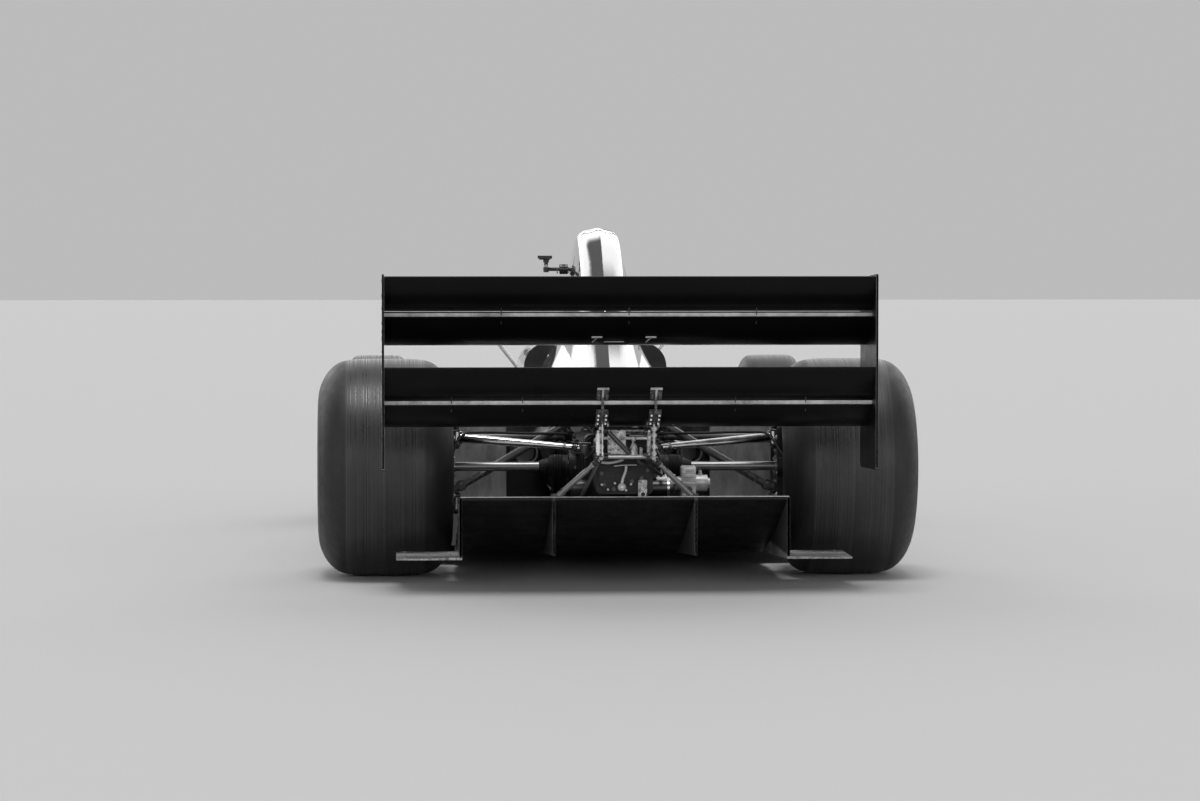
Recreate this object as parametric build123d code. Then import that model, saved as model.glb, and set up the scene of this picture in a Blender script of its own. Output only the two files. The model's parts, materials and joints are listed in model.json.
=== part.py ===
"""Open wheel racing car for speed hill climbs: a single seater with a tall two tier rear wing.

All sizes are in millimetres. The nose points along -Y, +Z is up and the car stands on Z = 0.
The origin is on the ground, midway between the front and the rear end, on the centre plane.
A station is a distance ahead of the rear axle, so stations behind it are negative.
"""

from math import atan2, cos, degrees, hypot, radians, sin
import os

from build123d import *

os.makedirs("parts", exist_ok=True)

# Overall layout
wheelbase = 2600.0
rear_overhang = 770.0  # rear axle to the back edge of the rear wing
front_overhang = 900.0  # front axle to the tip of the nose
rear_track = 1370.0
front_track = 1420.0
ride_height = 45.0
floor_thickness = 15.0
floor_top = ride_height + floor_thickness
length = rear_overhang + wheelbase + front_overhang
rear_axle_y = length / 2 - rear_overhang

# Running clearances
turning_gap = 0.3  # round a shaft that turns in its housing
pin_gap = 0.08  # round a steering pin in its bore
face_gap = 0.4  # between faces that turn past each other

# Wheels: columns are diameter, width, half flat of the tread, shoulder x, shoulder drop,
# radius at the bulge, half width between the beads, spoke face, spoke depth
tyre_sizes = {
    "rear": (645.0, 400.0, 105.0, 156.0, 48.0, 198.0, 178.0, 62.0, 17.0),
    "front": (585.0, 265.0, 72.0, 103.0, 32.0, 198.0, 117.0, 52.0, 15.0),
}
crown_drop = 1.5
rim_radius = 165.0
rim_wall = 7.0
flange_height = 13.0
flange_width = 7.0
spoke_count = 10
spoke_width = 17.0
spoke_pair_gap = 24.0
hub_flange_radius = 52.0
hub_flange_depth = 26.0
wheel_nut_radius = 30.0
wheel_nut_length = 34.0
disc_radius = 132.0
disc_thickness = 20.0
disc_gap = 6.0  # hub flange to disc, and disc to upright
hub_shaft_radius = 30.0
hub_mid_radius = 50.0
driveshaft_radius = 13.5
joint_can_radius = 31.0
joint_can_length = 46.0
stub_radius = 20.0
stub_depth = 30.0

# Rear upright and its links
upright_face = 482.0  # inner face of the rear upright, from the centre plane
upright_plate = 24.0
upright_half_height = 128.0
upright_length = 96.0
bearing_housing_radius = 56.0
caliper_length = 70.0
upper_arm_rise = 87.0
lower_arm_drop = 108.0
arm_eye_radius = 18.0
arm_eye_height = 36.0
pushrod_radius = 11.5
rocker_width = 36.0

# Steering
kingpin_offset = 60.0  # wheel centre plane to the steering axis
kingpin_reach = 108.0  # wheel centre to the top and bottom of the front upright
kingpin_radius = 7.0
kingpin_depth = 16.0
knuckle_width = 44.0
knuckle_length = 60.0
ball_radius = 17.0
ball_height = 24.0
steering_arm_length = 110.0
steering_arm_height = 22.0  # above the front wheel centre
steering_arm_thickness = 14.0
track_rod_radius = 9.0
rod_eye_radius = 16.0
rod_eye_half_height = 12.0
rack_housing_radius = 21.0
rack_housing_length = 300.0
rod_hole_radius = 20.0

# Tub: columns are station, half width low and high, low and high z, low and high corner radius
tub_wall = 34.0
tub_rear = 1120.0
dash_station = wheelbase - 480.0
bulkhead_station = wheelbase + 350.0
tub_sections = (
    (tub_rear, 240.0, 232.0, floor_top, 665.0, 30.0, 78.0),
    (tub_rear + 330.0, 262.0, 238.0, floor_top, 662.0, 30.0, 76.0),
    (dash_station - 270.0, 255.0, 220.0, floor_top, 618.0, 30.0, 62.0),
    (dash_station, 232.0, 196.0, floor_top, 562.0, 30.0, 50.0),
    (wheelbase, 182.0, 152.0, floor_top, 470.0, 30.0, 42.0),
    (bulkhead_station, 140.0, 112.0, 80.0, 400.0, 30.0, 36.0),
)
cockpit_rear = tub_rear + 220.0
cockpit_front = dash_station - 40.0
cockpit_rear_half_width = 180.0
cockpit_front_half_width = 142.0
cockpit_corner = 60.0
cockpit_floor = floor_top + 26.0
dash_thickness = 14.0
dash_depth = 105.0

# Nose: columns as for the tub, after the bulkhead
nose_tip = wheelbase + front_overhang
nose_sections = (
    (bulkhead_station + 260.0, 103.0, 84.0, 128.0, 332.0, 26.0, 32.0),
    (bulkhead_station + 450.0, 66.0, 54.0, 170.0, 268.0, 20.0, 24.0),
    (nose_tip, 36.0, 30.0, 190.0, 236.0, 12.0, 14.0),
)

# Engine cover: columns are station, ridge z, shoulder x, z, waist x, z, base x, z
cover_wall = 10.0
cover_tail = 150.0
cover_sections = (
    (tub_rear, 1021.0, 68.0, 1006.0, 122.0, 700.0, 228.0, 470.0),
    (800.0, 988.0, 62.0, 972.0, 118.0, 680.0, 236.0, 462.0),
    (560.0, 812.0, 58.0, 796.0, 112.0, 622.0, 246.0, 462.0),
    (330.0, 622.0, 50.0, 610.0, 98.0, 546.0, 216.0, 462.0),
    (cover_tail, 562.0, 40.0, 550.0, 80.0, 508.0, 150.0, 462.0),
)
ridge_round = 8.0
shoulder_round = 44.0
waist_round = 60.0
snout_length = 150.0
snout_drop = 12.0
snout_base_half_width = 96.0
snout_base_z = 600.0
inlet_half_width = 58.0
inlet_low = 812.0
inlet_high = 992.0
inlet_depth = 190.0
inlet_corner = 40.0

# Side pods: columns are station, outer x, low z, high z, outer low and outer high corner radius
pod_rear = 370.0
pod_front = 1800.0
pod_inner = 220.0
engine_bay_half_width = 314.0
pod_sections = (
    (pod_rear, 668.0, floor_top, 438.0, 30.0, 90.0),
    (pod_rear + 480.0, 705.0, floor_top, 462.0, 30.0, 90.0),
    (pod_front - 280.0, 700.0, floor_top, 456.0, 30.0, 90.0),
    (pod_front, 660.0, floor_top, 372.0, 30.0, 60.0),
)
duct_depth = 330.0
duct_wall = 34.0
duct_corner = 30.0
radiator_thickness = 55.0

# Floor and diffuser
floor_half_width = 700.0
floor_front = pod_front + 180.0
floor_front_half_width = 240.0
floor_rear_half_width = 470.0
floor_end = 355.0
diffuser_front = 250.0
diffuser_rear = -500.0
diffuser_half_width = 475.0
diffuser_exit_z = 253.0
diffuser_roof = 8.0
diffuser_side = 8.0
diffuser_skirt_z = 82.0
strake_x = 204.0
strake_thickness = 6.0
strake_z = 93.0
footplate_reach = 180.0
footplate_length = 265.0
footplate_thickness = 5.0

# Engine and gearbox
engine_rear = 450.0
engine_low = 92.0
engine_high = 450.0
engine_half_sump = 115.0
engine_half_width = 215.0
engine_shoulder_z = 370.0
engine_half_top = 150.0
gearbox_rear = -285.0
gearbox_half_width = 98.0
gearbox_low = 212.0
gearbox_high = 425.0
tail_rear = -470.0
tail_half_width = 82.0
tail_low = 268.0
tail_round = 14.0
bell_half_width = 165.0
bell_low = 110.0
bell_high = 440.0
bell_rear = 150.0
diff_radius = 104.0
output_boss_x = 140.0
output_boss_radius = 52.0
joint_gap = 7.0  # output boss to the turning joint
rib_depth = 10.0
rib_thickness = 8.0
rib_stations = (-230.0, -180.0, 100.0)
lug_x = -51.0
lug_z = 280.0
lug_width = 24.0
lug_height = 50.0
lug_thickness = 12.0
lug_hole_radius = 4.2
lug_hole_depth = 24.0
actuator_z = 285.0
actuator_steps = ((68.0, 24.0), (5.0, 28.0), (40.0, 19.0), (42.0, 17.0), (38.0, 24.0), (8.0, 15.0))
actuator_block = 42.0
actuator_block_offset = 82.0
actuator_station = -235.0
exhaust_radius = 31.0
exhaust_wall = 2.5
exhaust_x = 252.0
exhaust_z = 318.0
exhaust_rise = 30.0
exhaust_rear = 300.0
exhaust_front = 1010.0
exhaust_ports = (540.0, 670.0, 800.0, 930.0)
port_radius = 21.0
port_rise = 34.0

# Rear wing: each tier gives its main and flap as leading and trailing station, z
wing_rear = -rear_overhang
wing_half_span = 695.0
endplate_thickness = 6.0
endplate_front = -395.0
endplate_high = 902.0
endplate_high_front = 889.0
endplate_low = 352.0
endplate_low_front = 341.0
endplate_round = 8.0
trailing_edge = 2.5
main_thickness = 30.0
main_camber = 32.0
flap_thickness = 19.0
flap_camber = 13.0
wing_tiers = {
    "upper": ((-420.0, 719.0, -690.0, 781.0), (-652.0, 800.0, -767.0, 895.0)),
    "lower": ((-420.0, 495.0, -690.0, 533.0), (-652.0, 550.0, -767.0, 641.0)),
}
pillar_x = 75.0
pillar_thickness = 7.0
pad_width = 34.0
pad_thickness = 5.0
main_pad_length = 74.0
flap_pad_length = 46.0
post_width = 10.0
post_depth = 26.0
post_rear = -618.0
post_low = 374.0
post_high = 486.0
arm_high = 424.0
cross_tube_radius = 6.0
cross_tube_z = (381.0, 456.0)
stay_radius = 6.0

# Front wing
front_half_span = 680.0
front_plate = 7.0
front_main = (nose_tip - 12.0, 118.0, nose_tip - 285.0, 136.0)
front_flap = (nose_tip - 262.0, 158.0, nose_tip - 440.0, 228.0)
front_main_thickness = 26.0
front_main_camber = 16.0
front_flap_thickness = 16.0
front_flap_camber = 14.0
front_flap_inner = 125.0
front_plate_rear = nose_tip - 530.0
front_plate_low = 55.0
front_plate_high = 265.0
front_foot_width = 60.0
pylon_x = 48.0
pylon_thickness = 8.0

# Cockpit fittings
seat_half_width = 165.0
seat_thickness = 26.0
steering_wheel_station = dash_station - 165.0
steering_wheel_z = 515.0
steering_wheel_radius = 112.0
steering_rim_radius = 13.0
column_radius = 11.0
column_rake = 14.0  # degrees below level, towards the nose
mirror_x = 330.0
mirror_z = 692.0
mirror_width = 150.0
mirror_height = 56.0
mirror_depth = 45.0
mirror_root_drop = 60.0  # below the top of the tub
screen_height = 92.0
screen_thickness = 5.0
screen_radius = 205.0
screen_half_angle = 62.0


def y_at(station):
    """The y of a station."""
    return rear_axle_y - station


def point(x, station, z):
    """A point given by its distance from the centre plane, station and height."""
    return Vector(x, y_at(station), z)


def cross_plane(station):
    """A plane across the car, whose local x is X and whose local y is Z."""
    return Plane(origin=(0, y_at(station), 0), x_dir=(1, 0, 0), z_dir=(0, -1, 0))


def rounded_outline(corners):
    """A flat face from (x, y, radius) corners, each rounded by its radius."""
    flat = make_face(Polyline(*[(x, y) for x, y, _ in corners], close=True))
    for x, y, radius in corners:
        if radius > 0:
            corner = flat.vertices().sort_by_distance((x, y, 0))[0]
            flat = fillet(corner, radius)
    return flat


def mirrored(half):
    """Both sides of a symmetric outline, from its corners with x above zero, top to bottom."""
    return list(half) + [(-x, z, radius) for x, z, radius in reversed(half)]


def box_between(x0, x1, station0, station1, z0, z1):
    """A block between two x, two stations and two heights."""
    centre = ((x0 + x1) / 2, y_at((station0 + station1) / 2), (z0 + z1) / 2)
    return Pos(*centre) * Box(abs(x1 - x0), abs(station1 - station0), abs(z1 - z0))


def rod(start, end, radius, end_radius=None):
    """A round bar between two points, tapered if it has an end radius."""
    axis = end - start
    plane = Plane(origin=start, z_dir=axis)
    if end_radius is None:
        return extrude(plane * Circle(radius), axis.length)
    return plane * Cone(radius, end_radius, axis.length, align=(Align.CENTER, Align.CENTER, Align.MIN))


def both_sides(solid):
    """The left piece and its mirror image on the right."""
    return solid, mirror(solid, about=Plane.YZ)


def save(name, *solids):
    """Writes one node. Solids that don't touch may share it."""
    shape = solids[0] if len(solids) == 1 else Compound(children=list(solids))
    export_step(shape, f"parts/{name}.step")


def tub_face(row, inset=0.0, low=None):
    """One section of the tub or nose."""
    station, half_low, half_high, z_low, z_high, round_low, round_high = row
    bottom = z_low + inset if low is None else low
    half = (
        (half_high - inset, z_high - inset, max(round_high - inset, 8.0)),
        (half_low - inset, bottom, max(round_low - inset, 8.0)),
    )
    return cross_plane(station) * rounded_outline(mirrored(half))


def tub_row(station):
    """The tub's section at any station, between the rows of the table."""
    for near, far in zip(tub_sections, tub_sections[1:]):
        if near[0] <= station <= far[0]:
            share = (station - near[0]) / (far[0] - near[0])
            return tuple(a + (b - a) * share for a, b in zip(near, far))
    raise ValueError("that station is off the tub")


def tub_outer():
    """The tub's outer form."""
    return loft([tub_face(row) for row in tub_sections])


def make_tub(outer):
    """The monocoque: one hollow shell with the cockpit opening, dash bulkhead and rod holes."""
    stations = [cockpit_rear, *(row[0] for row in tub_sections[1:-1]), bulkhead_station - tub_wall]
    rows = [tub_row(station) for station in stations]
    cavity = loft([tub_face(row, tub_wall, cockpit_floor) for row in rows])
    opening = rounded_outline(
        (
            (cockpit_rear_half_width, y_at(cockpit_rear), cockpit_corner),
            (cockpit_front_half_width, y_at(cockpit_front), cockpit_corner),
            (-cockpit_front_half_width, y_at(cockpit_front), cockpit_corner),
            (-cockpit_rear_half_width, y_at(cockpit_rear), cockpit_corner),
        )
    )
    top = tub_sections[0][4]
    opening = extrude(Pos(0, 0, top - 2 * cockpit_rear_half_width) * opening, top)
    shell = outer - cavity - opening
    widest = tub_sections[1][1]
    dash_top = tub_row(dash_station)[4]
    dash = box_between(
        -widest, widest, dash_station, dash_station + dash_thickness, dash_top - dash_depth, dash_top
    )
    shell = shell + (dash & outer)
    rod_y = y_at(wheelbase + steering_arm_length)
    rod_z = front_axle_z + steering_arm_height
    rods = Plane(origin=(-widest, rod_y, rod_z), z_dir=(1, 0, 0)) * Circle(rod_hole_radius)
    start, end = column_ends()
    bearing = rod(start, end, column_radius + turning_gap)
    return shell - extrude(rods, 2 * widest) - bearing


rear_axle_z = tyre_sizes["rear"][0] / 2
front_axle_z = tyre_sizes["front"][0] / 2


def column_ends():
    """The steering column's two ends: at the wheel, and ahead of the dash."""
    length_ahead = dash_station + 120.0 - steering_wheel_station
    drop = length_ahead * sin(radians(column_rake)) / cos(radians(column_rake))
    start = point(0, steering_wheel_station, steering_wheel_z)
    return start, point(0, steering_wheel_station + length_ahead, steering_wheel_z - drop)


def make_nose():
    """The nose cone, ahead of the front bulkhead."""
    rows = (tub_sections[-1], *nose_sections)
    return loft([tub_face(row) for row in rows])


def cover_face(row, inset=0.0, low=None):
    """One section of the engine cover, a ridge with shoulders above a flared skirt."""
    station, ridge, shoulder_x, shoulder_z, waist_x, waist_z, base_x, base_z = row
    base = base_z - (1.0 if inset else 0.0) if low is None else low
    half = (
        (shoulder_x - inset, shoulder_z - inset, min(shoulder_round, (shoulder_x - inset) * 0.75)),
        (waist_x - inset, waist_z - inset, waist_round),
        (base_x - inset, base, 0.0),
    )
    peak = ((0.0, ridge - inset, ridge_round),)
    return cross_plane(station) * rounded_outline((*peak, *mirrored(half)))


def make_cover(tub):
    """The engine cover with its air inlet above the driver's head."""
    outer = loft([cover_face(row) for row in cover_sections])
    front = cover_sections[0]
    inner_rows = [(tub_rear - cover_wall, *front[1:]), *cover_sections[1:-1]]
    inner_rows.append((cover_tail - 1.0, *cover_sections[-1][1:]))
    shell = outer - loft([cover_face(row, cover_wall) for row in inner_rows])
    tip = (tub_rear + snout_length, front[1] - snout_drop, front[2] - 4.0, front[3] - snout_drop)
    tip = (*tip, front[4] - 6.0, front[5], snout_base_half_width, snout_base_z)
    root = (*front[:6], snout_base_half_width + 26.0, snout_base_z)
    snout = loft([cover_face(root), cover_face(tip)]) - tub
    half = (
        (inlet_half_width * 0.72, inlet_high, inlet_corner * 0.8),
        (inlet_half_width, inlet_low, inlet_corner),
    )
    mouth = cross_plane(tub_rear + snout_length - inlet_depth) * rounded_outline(mirrored(half))
    mouth = extrude(mouth, inlet_depth + 1.0)
    return shell + snout - mouth


def pod_face(row, inner):
    """One section of the left side pod."""
    station, outer_x, z_low, z_high, round_low, round_high = row
    corners = (
        (inner, z_low, 0.0),
        (outer_x, z_low, round_low),
        (outer_x, z_high, round_high),
        (inner, z_high, 0.0),
    )
    return cross_plane(station) * rounded_outline(corners)


def make_pod(tub, cover):
    """The left side pod, with its air duct, beside the tub and the engine bay."""
    pod = loft([pod_face(row, pod_inner) for row in pod_sections])
    bay = box_between(0, engine_bay_half_width, pod_rear - 10, tub_rear, 0, 2 * pod_sections[1][3])
    front = pod_sections[-1]
    inner = tub_row(pod_front)[1] + duct_wall
    corners = (
        (inner, floor_top + duct_wall, duct_corner),
        (front[1] - duct_wall, floor_top + duct_wall, duct_corner),
        (front[1] - duct_wall, front[3] - duct_wall, duct_corner),
        (inner, front[3] - duct_wall, duct_corner),
    )
    duct = extrude(cross_plane(pod_front - duct_depth) * rounded_outline(corners), duct_depth + 1.0)
    core = extrude(cross_plane(pod_front - duct_depth) * rounded_outline(corners), radiator_thickness)
    return pod - bay - tub - cover - duct, core


def make_floor():
    """The flat floor under the tub, the pods and the engine."""
    half = (
        (floor_front_half_width, floor_front),
        (floor_half_width, floor_front - 240.0),
        (floor_half_width, floor_end + 60.0),
        (floor_rear_half_width, floor_end),
        (floor_rear_half_width, diffuser_front),
    )
    left = [(x, y_at(station)) for x, station in half]
    right = [(-x, y) for x, y in reversed(left)]
    return extrude(Pos(0, 0, ride_height) * make_face(Polyline(*left, *right, close=True)), floor_thickness)


def side_face(points, x):
    """A face along the car at x, from points given as station, z."""
    plane = Plane(origin=(x, 0, 0), x_dir=(0, 1, 0), z_dir=(1, 0, 0))
    return plane * make_face(Polyline(*[(y_at(s), z) for s, z in points], close=True))


def roof_z(station):
    """The height of the diffuser roof's lower side."""
    share = (diffuser_front - station) / (diffuser_front - diffuser_rear)
    return ride_height + (diffuser_exit_z - ride_height) * (0.72 * share + 0.28 * share * share)


def below_roof(thickness, x, z_rear):
    """A vertical plate under the diffuser roof, centred on x."""
    steps = [diffuser_front + (diffuser_rear - diffuser_front) * k / 4 for k in range(5)]
    top = [(station, roof_z(station) + diffuser_roof / 2) for station in steps]
    points = [*top, (diffuser_rear, z_rear), (diffuser_front, ride_height)]
    return extrude(side_face(points, x - thickness / 2), thickness)


def make_diffuser():
    """The diffuser: roof, side plates, two strakes and the foot plates behind the tyres."""
    steps = [diffuser_front + (diffuser_rear - diffuser_front) * k / 4 for k in range(5)]
    low = [(station, roof_z(station)) for station in steps]
    high = [(station, z + diffuser_roof) for station, z in reversed(low)]
    roof = extrude(side_face([*low, *high], -diffuser_half_width), 2 * diffuser_half_width)
    shape = roof
    for side in (-1, 1):
        edge = side * (diffuser_half_width - diffuser_side / 2)
        shape += below_roof(diffuser_side, edge, diffuser_skirt_z)
        shape += below_roof(strake_thickness, side * strake_x, strake_z)
        inner = side * (diffuser_half_width - diffuser_side / 2)
        outer = side * (diffuser_half_width + footplate_reach)
        low_z = diffuser_skirt_z
        shape += box_between(
            inner,
            outer,
            diffuser_rear,
            diffuser_rear + footplate_length,
            low_z,
            low_z + footplate_thickness,
        )
    return shape


def make_engine():
    """The engine as one plain block between the tub and the gearbox."""
    half = (
        (engine_half_top, engine_high, 12.0),
        (engine_half_width, engine_shoulder_z, 12.0),
        (engine_half_sump, engine_low, 12.0),
    )
    face = cross_plane(engine_rear) * rounded_outline(mirrored(half))
    return extrude(face, tub_rear - engine_rear)


def make_gearbox():
    """Bell housing, gear case, differential and the output bosses, as one casting."""
    half = gearbox_half_width
    bell = (
        (bell_half_width, bell_high, 40.0),
        (bell_half_width, bell_low, 40.0),
    )
    neck = ((half, gearbox_high, 20.0), (half, gearbox_low - 25.0, 20.0))
    shape = loft(
        [
            cross_plane(bell_rear) * rounded_outline(mirrored(neck)),
            cross_plane(engine_rear) * rounded_outline(mirrored(bell)),
        ]
    )
    case = ((half, gearbox_high, 20.0), (half, gearbox_low, 20.0))
    face = cross_plane(gearbox_rear) * rounded_outline(mirrored(case))
    shape += extrude(face, bell_rear - gearbox_rear)
    for station in rib_stations:
        shape += box_between(
            -half - rib_depth,
            half + rib_depth,
            station,
            station + rib_thickness,
            gearbox_low + 20.0,
            gearbox_high - 20.0,
        )
    centre = Plane(origin=(-half - 18.0, y_at(0), rear_axle_z), z_dir=(1, 0, 0))
    shape += extrude(centre * Circle(diff_radius), 2 * (half + 18.0))
    boss = Plane(origin=(-output_boss_x, y_at(0), rear_axle_z), z_dir=(1, 0, 0))
    shape += extrude(boss * Circle(output_boss_radius), 2 * output_boss_x)
    tail = ((tail_half_width, gearbox_high, tail_round), (tail_half_width, tail_low, tail_round))
    shape += extrude(cross_plane(tail_rear) * rounded_outline(mirrored(tail)), gearbox_rear - tail_rear)
    stub = extrude(boss * Circle(stub_radius + turning_gap), stub_depth + 2.0)
    shape = shape - stub - mirror(stub, about=Plane.YZ)
    lug_rear = tail_rear - lug_thickness
    shape += box_between(
        lug_x - lug_width / 2,
        lug_x + lug_width / 2,
        tail_rear,
        lug_rear,
        lug_z - lug_height / 2,
        lug_z + lug_height / 2,
    )
    mouth = Plane(origin=(lug_x, y_at(lug_rear), lug_z), z_dir=(0, -1, 0))
    return shape - extrude(mouth * Circle(lug_hole_radius), lug_hole_depth)


def make_actuator(gearbox):
    """The gear shift actuator and its pump, across the right of the gear case."""
    x = -gearbox_half_width + actuator_steps[0][0] / 2
    shape = None
    for step_length, radius in actuator_steps:
        plane = Plane(origin=(x, y_at(actuator_station), actuator_z), z_dir=(-1, 0, 0))
        part = extrude(plane * Circle(radius), step_length)
        shape = part if shape is None else shape + part
        x -= step_length
    block_x = -gearbox_half_width - actuator_block_offset
    block = box_between(
        block_x,
        block_x - actuator_block,
        actuator_station - 30.0,
        actuator_station + 30.0,
        actuator_z - 40.0,
        actuator_z + 48.0,
    )
    return shape + block - gearbox


def make_exhausts(engine):
    """The left exhaust: four ports into one pipe beside the engine, open at its rear end."""
    start = point(exhaust_x, exhaust_front, exhaust_z)
    end = point(exhaust_x, exhaust_rear, exhaust_z + exhaust_rise)
    pipe = rod(start, end, exhaust_radius)
    for station in exhaust_ports:
        share = (exhaust_front - station) / (exhaust_front - exhaust_rear)
        z = exhaust_z + exhaust_rise * share
        head = point(engine_half_width - 40.0, station, z + port_rise)
        pipe += rod(head, point(exhaust_x, station, z), port_radius)
    inner = rod(end, end + (start - end) * 0.25, exhaust_radius - exhaust_wall)
    return pipe - engine - inner


def chord_plane(element, x):
    """The plane of a wing section, its local x along the chord from the leading edge."""
    lead_station, lead_z, trail_station, trail_z = element
    direction = (0, lead_station - trail_station, trail_z - lead_z)
    return Plane(origin=(x, y_at(lead_station), lead_z), x_dir=direction, z_dir=(1, 0, 0))


def chord_length(element):
    """The chord of a wing element."""
    return hypot(element[0] - element[2], element[1] - element[3])


def make_element(element, thickness, camber, x0, x1):
    """One wing element between two x: nose arc, hollow upper side and full lower side."""
    chord = chord_length(element)
    nose_low = (0.03 * chord, -0.40 * thickness)
    nose_high = (0.03 * chord, 0.24 * thickness)
    trail_low = (chord, -trailing_edge / 2)
    trail_high = (chord, trailing_edge / 2)
    outline = (
        ThreePointArc(nose_low, (0, -0.08 * thickness), nose_high)
        + ThreePointArc(nose_high, (0.5 * chord, 0.36 * thickness - camber), trail_high)
        + Line(trail_high, trail_low)
        + ThreePointArc(trail_low, (0.46 * chord, -0.5 * thickness - camber), nose_low)
    )
    return extrude(chord_plane(element, x0) * make_face(outline), x1 - x0)


def make_rear_wing():
    """The four elements of the rear wing, by name."""
    inner = wing_half_span - endplate_thickness
    made = {}
    for tier, (main, flap) in wing_tiers.items():
        made[f"rear_wing_{tier}_main"] = make_element(main, main_thickness, main_camber, -inner, inner)
        made[f"rear_wing_{tier}_flap"] = make_element(flap, flap_thickness, flap_camber, -inner, inner)
    return made


def make_rear_endplate():
    """The left endplate of the rear wing."""
    corners = (
        (y_at(wing_rear), endplate_low, endplate_round),
        (y_at(wing_rear), endplate_high, endplate_round),
        (y_at(endplate_front), endplate_high_front, endplate_round),
        (y_at(endplate_front), endplate_low_front, 3 * endplate_round),
    )
    plane = Plane(origin=(wing_half_span - endplate_thickness, 0, 0), x_dir=(0, 1, 0), z_dir=(1, 0, 0))
    return extrude(plane * rounded_outline(corners), endplate_thickness)


def along_chord(element, share, below):
    """The station and z of a point on a chord, moved below it."""
    lead_station, lead_z, trail_station, trail_z = element
    angle = atan2(trail_z - lead_z, lead_station - trail_station)
    station = lead_station + (trail_station - lead_station) * share - below * sin(angle)
    return station, lead_z + (trail_z - lead_z) * share - below * cos(angle)


def make_pad(element, share, thickness, camber, pad_length):
    """A flange plate seated against the lower side of a wing element."""
    below = camber * 4 * share * (1 - share) + 0.32 * thickness + pad_thickness / 2
    station, z = along_chord(element, share, below)
    slope = degrees(atan2(element[3] - element[1], element[0] - element[2]))
    curve = degrees(atan2(4 * camber * (1 - 2 * share), chord_length(element)))
    place = Pos(pillar_x, y_at(station), z) * Rot(slope - curve, 0, 0)
    return place * Box(pad_width, pad_length, pad_thickness + 0.3 * thickness)


def make_pillar(wing, gearbox):
    """The left wing pillar: a plate from the gearbox tail, a post behind it, and the wing's pads."""
    main, flap = wing_tiers["lower"]
    plate_points = (
        (tail_rear, arm_high - 18.0),
        (tail_rear, post_low),
        (post_rear + 2.0, post_low),
        (post_rear + 2.0, post_high - 20.0),
        along_chord(main, 0.97, 26.0),
        along_chord(flap, 0.30, 30.0),
        along_chord(flap, 0.30, 8.0),
        along_chord(flap, 0.12, 14.0),
        along_chord(main, 0.90, 4.0),
        along_chord(main, 0.60, main_camber),
        (post_rear + 2.0 * post_depth, post_high - 20.0),
        (post_rear + post_depth, arm_high),
    )
    x = pillar_x - pillar_thickness / 2
    plate = extrude(side_face(plate_points, x), pillar_thickness)
    post = box_between(
        pillar_x - post_width / 2,
        pillar_x + post_width / 2,
        post_rear + post_depth,
        post_rear,
        post_low,
        post_high,
    )
    shape = plate + post
    shape += make_pad(main, 0.84, main_thickness, main_camber, main_pad_length)
    shape += make_pad(flap, 0.24, flap_thickness, flap_camber, flap_pad_length)
    for piece in (wing["rear_wing_lower_main"], wing["rear_wing_lower_flap"], gearbox):
        shape = shape - piece
    return shape


def make_wing_mount(wing, gearbox, diffuser):
    """Both pillars with their cross tubes and the stays down to the diffuser."""
    left, right = both_sides(make_pillar(wing, gearbox))
    shape = left + right
    station = post_rear + post_depth
    for z in cross_tube_z:
        shape += rod(point(-pillar_x, station, z), point(pillar_x, station, z), cross_tube_radius)
    foot_station = diffuser_rear + 22.0
    foot_z = roof_z(foot_station) + diffuser_roof
    head = point(pillar_x, station, cross_tube_z[0] - 4.0)
    foot = point(strake_x, foot_station, foot_z - 1.0)
    middle = head + (foot - head) * 0.28
    low = head + (foot - head) * 0.86
    stay = rod(head, foot, stay_radius) + rod(middle, low, stay_radius * 1.35)
    stay_left, stay_right = both_sides(stay)
    inner_station = foot_station + 60.0
    inner_foot = point(strake_x * 0.66, inner_station, roof_z(inner_station) + diffuser_roof - 1.0)
    shape += stay_left + stay_right + rod(head, inner_foot, stay_radius * 0.8)
    return shape - gearbox - diffuser


def make_tyre(axle):
    """A slick tyre on the X axis, centred on its own middle plane."""
    diameter, width, flat, shoulder_x, drop, bulge_r, bead, _, _ = tyre_sizes[axle]
    radius, half = diameter / 2, width / 2
    bead_high = rim_radius + flange_height + 3.0
    side = (
        (bead, rim_radius),
        (bead, bead_high),
        (half - 2.0, bulge_r - 12.0),
        (half, bulge_r),
        (half - 0.34 * (half - shoulder_x), bulge_r + 0.42 * (radius - drop - bulge_r)),
        (shoulder_x, radius - drop),
        ((flat + shoulder_x) / 2 + 3.0, radius - 0.36 * drop),
        (flat, radius - crown_drop),
        (0.4 * flat, radius),
    )
    outline = [*side, *((-x, r) for x, r in reversed(side))]
    return revolve(make_face(Polyline(*outline, close=True)), Axis.X)


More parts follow.
